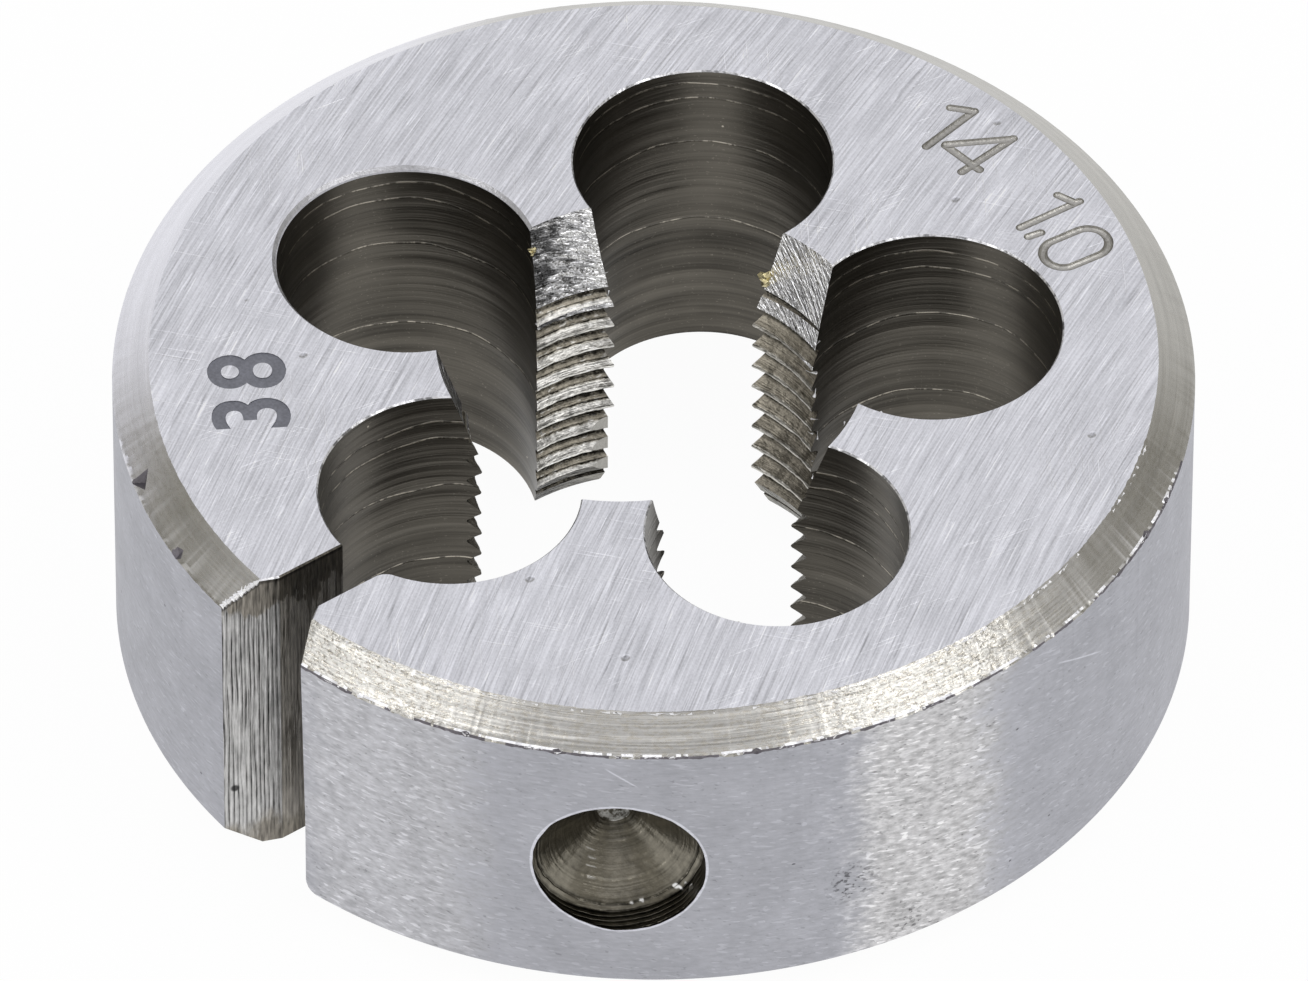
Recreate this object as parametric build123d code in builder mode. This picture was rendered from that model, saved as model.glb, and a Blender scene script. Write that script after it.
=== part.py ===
from build123d import *
from build123d.topology import SkipClean
import math
import os

# Round split threading die with five chip holes, for a right-hand 14 mm thread of 1 mm pitch.
# Z is the thread's axis, the plain back face lies on z = 0 and the start face is on top.
# The adjusting slot opens towards -Y.

# Body, in mm
outer_diameter = 38.0
thickness = 13.0
edge_chamfer_width = 1.3
edge_chamfer_height = 1.05

# Thread, in mm: the cutting lands stand at its minor diameter
thread_diameter = 14.0
thread_pitch = 1.0

# Lead cones, in mm: a long one on the start face, a short one for threading up to a shoulder
start_lead_diameter = 15.3
start_lead_length = 3.9
back_lead_diameter = 14.2
back_lead_length = 1.45

# Chip holes, in mm: the first one lies on the slot
chip_hole_count = 5
chip_hole_diameter = 9.2
chip_circle_diameter = 19.7

# Adjusting slot, in mm and degrees: it is skewed about the foot of the notch
slot_width = 1.9
slot_skew = 7.4
slot_corner_radius = 0.7

# Notch for the spreading screw's point, in mm and degrees
notch_width = 4.0
notch_angle = 60.0

# Dimple for the holding screw, in mm and degrees: its axis passes beside the die's own
dimple_diameter = 6.0
dimple_wall_depth = 0.9
dimple_depth = 3.0
dimple_tip_diameter = 1.2
dimple_direction = -40.2
dimple_offset = 2.37

# Radii on the body
outer_radius = outer_diameter / 2
face_radius = outer_radius - edge_chamfer_width
chip_circle_radius = chip_circle_diameter / 2

# The minor diameter of a 60 degree thread lies 5/8 of its sharp height below the nominal one
thread_flank = math.radians(30)
sharp_height = thread_pitch / 2 / math.tan(thread_flank)
minor_radius = thread_diameter / 2 - 5 / 8 * sharp_height

# The notch is a V whose sharp apex would lie inside the slot
notch_slope = math.tan(math.radians(notch_angle / 2))
notch_mouth_radius = math.sqrt(outer_radius**2 - (notch_width / 2) ** 2)
notch_apex_radius = notch_mouth_radius - notch_width / 2 / notch_slope
notch_foot_radius = notch_apex_radius + slot_width / 2 / notch_slope
notch_side = (outer_radius - notch_apex_radius) / math.cos(math.radians(notch_angle / 2))

# The slot runs from the chip circle to a little past the foot of the notch, where the V is wider
slot_length = notch_foot_radius - chip_circle_radius
slot_overrun = slot_width / 2
slot_outer_end = Location((0, -notch_foot_radius), -slot_skew) * Location((0, -slot_overrun))

# Distances along the dimple's axis from its foot point beside the die's own axis
dimple_mouth = math.sqrt(outer_radius**2 - dimple_offset**2)
dimple_wall_end = dimple_mouth - dimple_wall_depth
dimple_floor = dimple_mouth - dimple_depth
dimple_foot = Location((0, 0, thickness / 2), (0, 0, dimple_direction)) * Location((0, -dimple_offset, 0))
dimple_plane = Plane(dimple_foot)

with BuildPart() as threading_die:
    # Ring with chamfered rims, a bore at the minor diameter and a lead cone at each end
    with BuildSketch(Plane.YZ):
        with BuildLine():
            Polyline(
                (back_lead_diameter / 2, 0),
                (face_radius, 0),
                (outer_radius, edge_chamfer_height),
                (outer_radius, thickness - edge_chamfer_height),
                (face_radius, thickness),
                (start_lead_diameter / 2, thickness),
                (minor_radius, thickness - start_lead_length),
                (minor_radius, back_lead_length),
                close=True,
            )
        make_face()
    revolve(axis=Axis.Z)

    # Chip holes, which break into the bore and leave the cutting lands between them
    with PolarLocations(chip_circle_radius, chip_hole_count, start_angle=-90):
        Hole(chip_hole_diameter / 2)

    # Adjusting slot from the first chip hole into the notch
    with BuildSketch():
        with Locations(slot_outer_end):
            Rectangle(slot_width, slot_length + slot_overrun, align=(Align.CENTER, Align.MIN))
    extrude(amount=thickness, mode=Mode.SUBTRACT)

    # Rounded corner where the slot leaves the chip hole
    corner_guess = (slot_width / 2, -chip_circle_radius - chip_hole_diameter / 2, thickness / 2)
    slot_corner = threading_die.edges().filter_by(Axis.Z).sort_by_distance(corner_guess)[0]
    fillet(slot_corner, slot_corner_radius)

    # The outside keeps its seam opposite the slot, so it stays in two faces from here on
    with SkipClean():
        # V notch that opens the slot to the outside
        with BuildSketch():
            with Locations((0, -notch_apex_radius)):
                Triangle(A=notch_angle, b=notch_side, c=notch_side, align=(Align.CENTER, Align.MAX))
        extrude(amount=thickness, mode=Mode.SUBTRACT, clean=False)

        # Drilled dimple in the outside, with a cone under its short wall
        with BuildSketch(dimple_plane):
            with BuildLine():
                Polyline(
                    (dimple_floor, 0),
                    (dimple_floor, dimple_tip_diameter / 2),
                    (dimple_wall_end, dimple_diameter / 2),
                    (outer_radius, dimple_diameter / 2),
                    (outer_radius, 0),
                    close=True,
                )
            make_face()
        revolve(axis=Axis(dimple_plane.origin, dimple_plane.x_dir), mode=Mode.SUBTRACT, clean=False)

threading_die.part.label = "threading_die"

os.makedirs("parts", exist_ok=True)
export_step(threading_die.part, "parts/threading_die.step")
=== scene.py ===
"""Looks of a round split threading die with five chip holes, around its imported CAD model.

The die is one closed mesh. It is shaped at the bench in millimetres, with the thread's axis on Z, and brought to
metres as its last step. Each cutter carries the finish of the surface that it leaves behind.
"""

import logging
import math
import random
from contextlib import contextmanager
from dataclasses import dataclass
from enum import Enum
from typing import Any, Callable, Iterator, Optional, Sequence, Union

import bpy
from mathutils import Matrix, Vector, noise


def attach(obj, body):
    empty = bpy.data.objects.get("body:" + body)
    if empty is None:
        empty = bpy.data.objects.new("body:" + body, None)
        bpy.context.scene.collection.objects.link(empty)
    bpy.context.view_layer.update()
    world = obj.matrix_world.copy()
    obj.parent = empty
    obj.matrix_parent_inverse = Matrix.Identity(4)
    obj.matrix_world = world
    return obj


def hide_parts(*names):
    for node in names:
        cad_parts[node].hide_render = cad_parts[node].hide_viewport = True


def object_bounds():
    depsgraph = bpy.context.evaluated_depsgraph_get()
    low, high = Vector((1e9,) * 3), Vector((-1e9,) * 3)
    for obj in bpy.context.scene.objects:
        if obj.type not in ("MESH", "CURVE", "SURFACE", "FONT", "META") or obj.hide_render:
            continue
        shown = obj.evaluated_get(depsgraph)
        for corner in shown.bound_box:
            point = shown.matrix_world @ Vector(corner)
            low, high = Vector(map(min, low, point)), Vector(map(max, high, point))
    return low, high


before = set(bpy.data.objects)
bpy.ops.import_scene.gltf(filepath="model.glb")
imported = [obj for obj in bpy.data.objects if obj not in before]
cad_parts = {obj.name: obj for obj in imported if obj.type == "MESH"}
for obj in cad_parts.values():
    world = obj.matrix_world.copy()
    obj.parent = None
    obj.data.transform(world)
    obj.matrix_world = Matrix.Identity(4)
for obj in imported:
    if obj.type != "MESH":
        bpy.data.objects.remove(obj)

log = logging.getLogger("threading_die")
CAD_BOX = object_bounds()
MM = 0.001
NODE = "threading_die"
BODY = "root"

# How close two places of a piece are taken as one, in its own units
TOUCH = 1e-4

# Z of a face's normal above which the face counts as level, and below which it counts as upright
LEVEL, UPRIGHT = 0.9, 0.3

# Distances towards an azimuth between which that side of the outside fades in, in millimetres
NEAR_SIDE = (8.0, 9.0)

Flat = tuple[float, float]
Point = tuple[float, float, float]
Mesh = bpy.types.Object


class Finish(Enum):
    """The surfaces of the die that were made in different ways."""

    GROUND_FACE = "ground_face"
    TURNED_CHAMFER = "turned_chamfer"
    GROUND_RIM = "ground_rim"
    DRILLED_WALL = "drilled_wall"
    LEAD_CONE = "lead_cone"
    THREAD = "thread"
    SLOT_WALL = "slot_wall"
    NOTCH_FACE = "notch_face"
    DIMPLE = "dimple"
    EDGE_BREAK = "edge_break"
    ETCHED = "etched"
    ENGRAVED = "engraved"
    # Dark chips, and the painted shade under the chamfer's lip.
    CHIPPED_AND_SHADE = "chipped_and_shade"
    BACK_LEAD = "back_lead"
    SCOOPED = "scooped"
    BURR = "burr"
    SWARF = "swarf"


class Pick(Enum):
    """What a selection in edit mode is made of."""

    VERTEX = "VERT"
    EDGE = "EDGE"
    FACE = "FACE"


@dataclass(frozen=True)
class DieSizes:
    """Sizes of the die, in millimetres and degrees.

    The outside comes from the CAD model's box, and the rest repeats the sizes of its features. A crest of the thread
    stands at crest_height over crest_azimuth. For each land, lead_relief says how far its long lead cone stands aside
    and outwards.
    """

    outer_radius: float = (CAD_BOX[1][0] - CAD_BOX[0][0]) / 2 / MM
    thickness: float = (CAD_BOX[1][2] - CAD_BOX[0][2]) / MM
    chamfer_width: float = 1.3
    chamfer_height: float = 1.05
    major_radius: float = 7.0
    pitch: float = 1.0
    crest_height: float = 7.15
    crest_azimuth: float = 148.0
    crest_flat: float = 0.03
    crest_shoulder: Flat = (0.03, 0.08)
    root_radius: float = 6.93
    root_flat: float = 0.045
    start_lead_radius: float = 7.65
    start_lead_length: float = 3.9
    back_lead_radius: float = 7.1
    back_lead_length: float = 1.45
    hole_count: int = 5
    hole_radius: float = 4.6
    hole_circle_radius: float = 9.85
    slot_width: float = 1.9
    slot_skew: float = 7.4
    slot_corner_radius: float = 0.7
    notch_width: float = 4.0
    notch_angle: float = 60.0
    dimple_radius: float = 3.0
    dimple_wall: float = 0.9
    dimple_depth: float = 3.0
    dimple_tip_radius: float = 0.6
    dimple_direction: float = -40.2
    dimple_offset: float = 2.37
    edge_break: float = 0.055
    lead_relief: tuple[Flat, ...] = ((0.3, -0.02), (0.3, 0.0), (0.1, 0.0), (0.65, -0.09), (1.2, -0.04))

    @property
    def flank_depth(self) -> float:
        """Depth of the thread, 5/8 of its sharp triangle's height."""
        return 5 / 8 * self.pitch / 2 / math.tan(math.radians(30))

    @property
    def minor_radius(self) -> float:
        """Radius of the thread's crests."""
        return self.major_radius - self.flank_depth

    @property
    def notch_slope(self) -> float:
        """Half width that the notch gains for each millimetre outwards."""
        return math.tan(math.radians(self.notch_angle / 2))

    @property
    def notch_apex(self) -> float:
        """Distance of the notch's sharp apex from the axis."""
        half = self.notch_width / 2
        return math.sqrt(self.outer_radius**2 - half**2) - half / self.notch_slope

    @property
    def notch_foot(self) -> float:
        """Distance from the axis at which the notch is as wide as the slot."""
        return self.notch_apex + self.slot_width / 2 / self.notch_slope

    @property
    def dimple_mouth(self) -> float:
        """Distance along the dimple's axis at which it leaves the outside."""
        return math.sqrt(self.outer_radius**2 - self.dimple_offset**2)


class Wire:
    """A value in a shader tree, on which Python's operators add Math nodes."""

    def __init__(self, kit: "Kit", socket: bpy.types.NodeSocket) -> None:
        self.kit = kit
        self.socket = socket

    def __add__(self, other: "Number") -> "Wire":
        """Adds a number."""
        return self.kit.maths("ADD", self, other)

    __radd__ = __add__

    def __sub__(self, other: "Number") -> "Wire":
        """Subtracts a number."""
        return self.kit.maths("SUBTRACT", self, other)

    def __rsub__(self, other: "Number") -> "Wire":
        """Is subtracted from a number."""
        return self.kit.maths("SUBTRACT", other, self)

    def __mul__(self, other: "Number") -> "Wire":
        """Multiplies by a number."""
        return self.kit.maths("MULTIPLY", self, other)

    __rmul__ = __mul__

    def __truediv__(self, other: "Number") -> "Wire":
        """Divides by a number."""
        return self.kit.maths("DIVIDE", self, other)

    def __abs__(self) -> "Wire":
        """Drops the sign."""
        return self.kit.maths("ABSOLUTE", self)


Number = Union[Wire, float]
Colour = Union[Wire, Point]


def total(wires: Sequence[Wire]) -> Wire:
    """Adds values up."""
    return sum(wires[1:], wires[0])


class Kit:
    """Adds the nodes of one material or world to its tree."""

    def __init__(self, tree: bpy.types.NodeTree) -> None:
        """Keeps the tree."""
        self.tree = tree

    def node(
        self, kind: str, settings: dict[str, Any], values: dict[Union[int, str], Any], output: Union[int, str] = 0
    ) -> Wire:
        """Adds one node.

        Args:
            kind: The node's type.
            settings: Its properties, which are set first.
            values: A number, colour, vector or link for each socket that is given.
            output: The output that is wanted.

        Returns:
            That output.
        """
        node = self.tree.nodes.new(kind)
        for name, value in settings.items():
            setattr(node, name, value)
        for key, value in values.items():
            socket = node.inputs[key]
            if isinstance(value, Wire):
                self.tree.links.new(value.socket, socket)
            elif socket.type == "RGBA":
                socket.default_value = (*value, 1.0)
            else:
                socket.default_value = value
        return Wire(self, node.outputs[output])

    def deliver(self, kind: str, surface: Wire) -> None:
        """Links the last shader to the tree's output node.

        Args:
            kind: The output node's type.
            surface: The last shader.
        """
        self.tree.links.new(surface.socket, self.tree.nodes.new(kind).inputs["Surface"])

    def maths(self, operation: str, *values: Number) -> Wire:
        """Adds a Math node."""
        return self.node("ShaderNodeMath", {"operation": operation}, dict(enumerate(values)))

    def smooth(self, value: Number, low: float, high: float) -> Wire:
        """Rises smoothly from 0 at the low value to 1 at the high one, or falls where low is above high.

        Args:
            value: What it follows.
            low: The value at which it is 0.
            high: The value at which it is 1.

        Returns:
            A mask from 0 to 1.
        """
        settings = {"interpolation_type": "SMOOTHSTEP", "clamp": True}
        if low > high:
            return 1.0 - self.smooth(value, high, low)
        return self.node("ShaderNodeMapRange", settings, {"Value": value, "From Min": low, "From Max": high})

    def blend(self, share: Number, first: Colour, second: Colour) -> Wire:
        """Mixes two colours.

        Args:
            share: Share of the second colour, from 0 to 1.
            first: The first colour.
            second: The second colour.

        Returns:
            The mixed colour.
        """
        return self.node("ShaderNodeMix", {"data_type": "RGBA"}, {0: share, 6: first, 7: second}, 2)

    def lit(self, colour: Colour, gain: Number) -> Wire:
        """Makes a colour lighter or darker by a factor."""
        return self.node("ShaderNodeVectorMath", {"operation": "SCALE"}, {0: colour, 3: gain})

    def place(self) -> Wire:
        """Gives the place on the object, in metres."""
        return self.node("ShaderNodeTexCoord", {}, {}, "Object")

    def along(self, direction: Point) -> Wire:
        """Gives the distance from the origin along a direction, in millimetres.

        Args:
            direction: The direction, of length 1.

        Returns:
            The distance.
        """
        scaled = tuple(part / MM for part in direction)
        settings = {"operation": "DOT_PRODUCT"}
        return self.node("ShaderNodeVectorMath", settings, {0: self.place(), 1: scaled}, "Value")

    def height(self) -> Wire:
        """Gives the height above the back face, in millimetres."""
        return self.along((0.0, 0.0, 1.0))

    def beside(self, azimuth: float) -> Wire:
        """Gives the level distance counter-clockwise from an azimuth in degrees, in millimetres."""
        angle = math.radians(azimuth)
        return self.along((-math.sin(angle), math.cos(angle), 0.0))

    def facing(self, azimuth: float) -> Wire:
        """Masks the side of the outside that looks towards an azimuth in degrees."""
        angle = math.radians(azimuth)
        return self.smooth(self.along((math.cos(angle), math.sin(angle), 0.0)), *NEAR_SIDE)

    def from_axis(self, centre: Flat = (0.0, 0.0)) -> Wire:
        """Gives the distance from an upright axis, in millimetres.

        Args:
            centre: Where the axis stands, in millimetres.

        Returns:
            The distance.
        """
        moved = {0: self.place(), 1: (centre[0] * MM, centre[1] * MM, 0.0)}
        aside = self.node("ShaderNodeVectorMath", {"operation": "SUBTRACT"}, moved)
        flat = {0: aside, 1: (1 / MM, 1 / MM, 0.0)}
        flat_aside = self.node("ShaderNodeVectorMath", {"operation": "MULTIPLY"}, flat)
        return self.node("ShaderNodeVectorMath", {"operation": "LENGTH"}, {0: flat_aside}, "Value")

    def stretch(self, azimuth: float, half: float, soft: float, wander: Number) -> Wire:
        """Masks a stretch of the outside.

        Args:
            azimuth: Azimuth of its middle, in degrees.
            half: Half its width, in millimetres.
            soft: How far its edges fade to each side, in millimetres.
            wander: How far they are shifted, in millimetres.

        Returns:
            A mask that is 1 in the stretch.
        """
        aside = self.beside(azimuth) + wander
        return self.smooth(abs(aside), half + soft, half - soft) * self.facing(azimuth)

    def vector(self, x: Number, y: Number, z: Number) -> Wire:
        """Puts three numbers together."""
        return self.node("ShaderNodeCombineXYZ", {}, {0: x, 1: y, 2: z})

    def spread(self, size: Point, turn: Point = (0.0, 0.0, 0.0), seed: float = 0.0) -> Wire:
        """Gives the place on the object in units of a turned grain.

        Args:
            size: Length, width and height of the grain, in millimetres.
            turn: How the grain is turned about each axis, in degrees.
            seed: Shift that tells one pattern from another.

        Returns:
            The place.
        """
        values = {
            "Vector": self.place(),
            "Location": (seed * MM, 0.7 * seed * MM, 0.4 * seed * MM),
            "Rotation": tuple(math.radians(angle) for angle in turn),
            "Scale": tuple(part * MM for part in size),
        }
        return self.node("ShaderNodeMapping", {"vector_type": "TEXTURE"}, values)

    def grain(
        self, size: Point, turn: Point = (0.0, 0.0, 0.0), seed: float = 0.0, detail: float = 2.0, rough: float = 0.5
    ) -> Wire:
        """Gives soft noise around 0.5 whose blots have a given size.

        Args:
            size: Length, width and height of a blot, in millimetres.
            turn: How it is turned, in degrees.
            seed: Shift that tells one pattern from another.
            detail: Octaves of finer noise.
            rough: How strong they are.

        Returns:
            The noise.
        """
        return self.noise(self.spread(size, turn, seed), detail, rough)

    def noise(self, at: Wire, detail: float = 2.0, rough: float = 0.5) -> Wire:
        """Gives soft noise around 0.5 at a place."""
        return self.node("ShaderNodeTexNoise", {}, {"Vector": at, "Scale": 1.0, "Detail": detail, "Roughness": rough})

    def specks(self, size: Point, share: float, radius: float, seed: float = 0.0) -> Wire:
        """Scatters small spots.

        Args:
            size: Size of the cells, each of which may hold one spot, in millimetres.
            share: Share of the cells that hold one.
            radius: Radius of a spot, as a share of its cell.
            seed: Shift that tells one pattern from another.

        Returns:
            A mask that is 1 in the spots.
        """
        values = {"Vector": self.spread(size, (0.0, 0.0, 0.0), seed), "Scale": 1.0, "Randomness": 0.8}
        distance = self.node("ShaderNodeTexVoronoi", {}, values, "Distance")
        source = distance.socket.node
        colour = Wire(self, source.outputs["Color"])
        chance = self.node("ShaderNodeSeparateColor", {}, {0: colour})
        return self.smooth(distance, radius, radius * 0.5) * self.smooth(chance, share, share - 0.01)


@dataclass(frozen=True)
class Look:
    """What a finish paints.

    Attributes:
        colour: The metal's colour.
        rough: Its roughness.
        height: Its relief, in millimetres.
    """

    colour: Colour
    rough: Number
    height: Optional[Wire] = None


@dataclass(frozen=True)
class MetalFinish:
    """A finish on bare steel, which each surface's own finish refines.

    Attributes:
        steel: Colour of the metal.
        rough: Roughness of the metal.
        stretch: How far highlights stretch across the grooves, from 0 to 1.
    """

    steel: Point = (0.5, 0.5, 0.5)
    rough: float = 0.4
    stretch: float = 0.0

    def paint(self, kit: Kit) -> Look:
        """Paints the finish.

        Args:
            kit: Adds the nodes.

        Returns:
            What goes into the shader.
        """
        return Look(self.steel, self.rough)

    def material(self, name: str) -> bpy.types.Material:
        """Makes the material.

        Args:
            name: Its name.

        Returns:
            The material.
        """
        material = bpy.data.materials.new(name)
        material.use_nodes = True
        tree = material.node_tree
        tree.nodes.clear()
        kit = Kit(tree)
        look = self.paint(kit)
        values = {"Base Color": look.colour, "Roughness": look.rough, "Metallic": 1.0}
        if self.stretch:
            values |= {"Anisotropic": self.stretch, "Anisotropic Rotation": 0.25}
        if look.height:
            relief = {"Height": look.height, "Distance": MM, "Strength": 1.0}
            values["Normal"] = kit.node("ShaderNodeBump", {}, relief)
        kit.deliver("ShaderNodeOutputMaterial", kit.node("ShaderNodeBsdfPrincipled", {}, values))
        return material


@dataclass(frozen=True)
class GroundFace(MetalFinish):
    """A face ground on a rotary table, with long, slightly curved lines.

    Attributes:
        table_centre: Centre of the grinding lines, in millimetres.
        sweep: Direction that the lines roughly follow.
    """

    steel: Point = (0.72, 0.725, 0.765)
    rough: float = 0.36
    table_centre: Flat = (124.0, 52.0)
    sweep: Point = (-0.43, 0.903, 0.0)

    def line(self, kit: Kit, width: float, length: float, seed: float) -> Wire:
        """Draws grinding lines.

        Args:
            kit: Adds the nodes.
            width: Width of a line, in millimetres.
            length: Its length.
            seed: Shift that tells one set of lines from another.

        Returns:
            Noise around 0.5.
        """
        across = kit.from_axis(self.table_centre) / width
        along = kit.along(self.sweep) / length
        return kit.noise(kit.vector(across, along, seed), 1.5)

    def paint(self, kit: Kit) -> Look:
        """Paints fine and coarse lines, hairline scratches across them and small dents.

        Args:
            kit: Adds the nodes.

        Returns:
            What goes into the shader.
        """
        fine, middle, broad = (
            self.line(kit, width, length, seed)
            for width, length, seed in ((0.07, 3.2, 1.0), (0.18, 6.0, 7.0), (0.8, 12.0, 13.0))
        )
        lines = (fine - 0.5) * 0.85 + (middle - 0.5) * 0.5 + (broad - 0.5) * 0.12
        bright = kit.smooth(self.line(kit, 0.09, 1.8, 21.0), 0.62, 0.71)
        dark = kit.smooth(self.line(kit, 0.11, 2.4, 29.0), 0.37, 0.28)
        cloud = kit.grain((2.5, 2.5, 9.0), seed=31.0, detail=3.0)
        grit = kit.grain((0.1, 0.1, 9.0), seed=37.0, detail=1.0)
        strays = []
        for turn, seed in ((32.0, 3.0), (75.0, 11.0), (140.0, 19.0)):
            stray = kit.smooth(kit.grain((2.2, 0.05, 8.0), (0.0, 0.0, turn), seed, 0.0), 0.7, 0.78)
            strays.append(stray * kit.smooth(kit.grain((5.0, 5.0, 8.0), seed=seed + 2.0), 0.5, 0.6))
        stray = total(strays)
        dents = kit.specks((1.7, 2.1, 30.0), 0.16, 0.1, 5.0)
        gain = 1.0 + lines + (cloud - 0.5) * 0.2 + (grit - 0.5) * 0.3
        gain = gain + bright * 0.26 + stray * 0.24 - dark * 0.2 - dents * 0.3
        rough = self.rough + (middle - 0.5) * 0.16
        height = (fine - 0.5) * 0.012 + (middle - 0.5) * 0.02 - dents * 0.03 - stray * 0.006
        return Look(kit.lit(self.steel, gain), rough, height)


@dataclass(frozen=True)
class TurnedChamfer(MetalFinish):
    """A turned chamfer with rings, smeared here and there.

    Attributes:
        rubbed: Direction of the side that has been rubbed most.
        brown: Colour of the hollows there.
        clean: Direction of the side that is painted lighter, as painted light.
        pale: Colour of that painted lighter side.
        crumpled: Azimuth in degrees and half width in millimetres of each stretch of torn metal, which also gets a
            painted highlight.
    """

    steel: Point = (0.508, 0.497, 0.468)
    brown: Point = (0.5, 0.475, 0.42)
    rough: float = 0.28
    stretch: float = 0.4
    rubbed: Point = (0.719, -0.695, 0.0)
    clean: Point = (-0.94, -0.34, 0.0)
    pale: Point = (0.562, 0.562, 0.605)
    crumpled: tuple[Flat, ...] = ((-75.5, 3.0), (-13.0, 3.3))

    def paint(self, kit: Kit) -> Look:
        """Paints the turning rings, and the folds and flakes of the torn stretches on the rubbed side, with a painted
        highlight on those stretches and painted light on the far side.

        Args:
            kit: Adds the nodes.

        Returns:
            What goes into the shader.
        """
        front = kit.smooth(kit.along(self.rubbed), 9.0, 15.0)
        clean = kit.smooth(kit.along(self.clean), 11.0, 15.5)
        rings = kit.grain((5.0, 5.0, 0.045), seed=2.0, detail=1.0)
        wide = kit.grain((7.0, 7.0, 0.16), seed=8.0, detail=1.0)
        smear = kit.grain((0.26, 0.26, 0.07), seed=4.0, detail=3.0, rough=0.65)
        cloud = kit.grain((1.6, 1.6, 1.0), seed=6.0)
        folds = abs(kit.grain((0.4, 0.4, 0.16), seed=20.0, detail=2.0, rough=0.6) - 0.5)
        flecks = kit.smooth(kit.grain((0.26, 0.26, 0.08), seed=12.0, detail=1.0), 0.6, 0.7)
        bright = kit.smooth(kit.grain((3.0, 3.0, 0.06), seed=16.0, detail=1.0), 0.6, 0.7)
        torn = total([kit.stretch(azimuth, half, 0.9, (cloud - 0.5) * 2.4) for azimuth, half in self.crumpled])
        calm = 0.12 + front * 0.88
        uneven = (0.22 + torn * 0.78) * calm
        smears = (smear - 0.5) * uneven
        # Painted highlight: the torn stretches, where the soft boxes' highlights fall, get a lighter tone besides
        # their real folds and flakes.
        gain = 0.9 + clean * 0.48 + torn * 0.19 + (rings - 0.5) * 1.1 * calm + (wide - 0.5) * 0.3 + smears * 1.1
        gain = gain + (flecks * 0.4 * uneven + bright * 0.3 * calm) - kit.smooth(folds, 0.04, 0.01) * uneven * 0.26
        height = (rings - 0.5) * 0.01 * calm + (wide - 0.5) * 0.004 + smears * 0.042
        colour = kit.blend(kit.smooth(smear, 0.56, 0.36) * calm, self.steel, self.brown)
        # Painted light: the far side gets a paler colour here and a lighter tone from the clean mask above.
        colour = kit.blend(clean, colour, self.pale)
        return Look(kit.lit(colour, gain), self.rough + (smear - 0.5) * 0.2, height)


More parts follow.
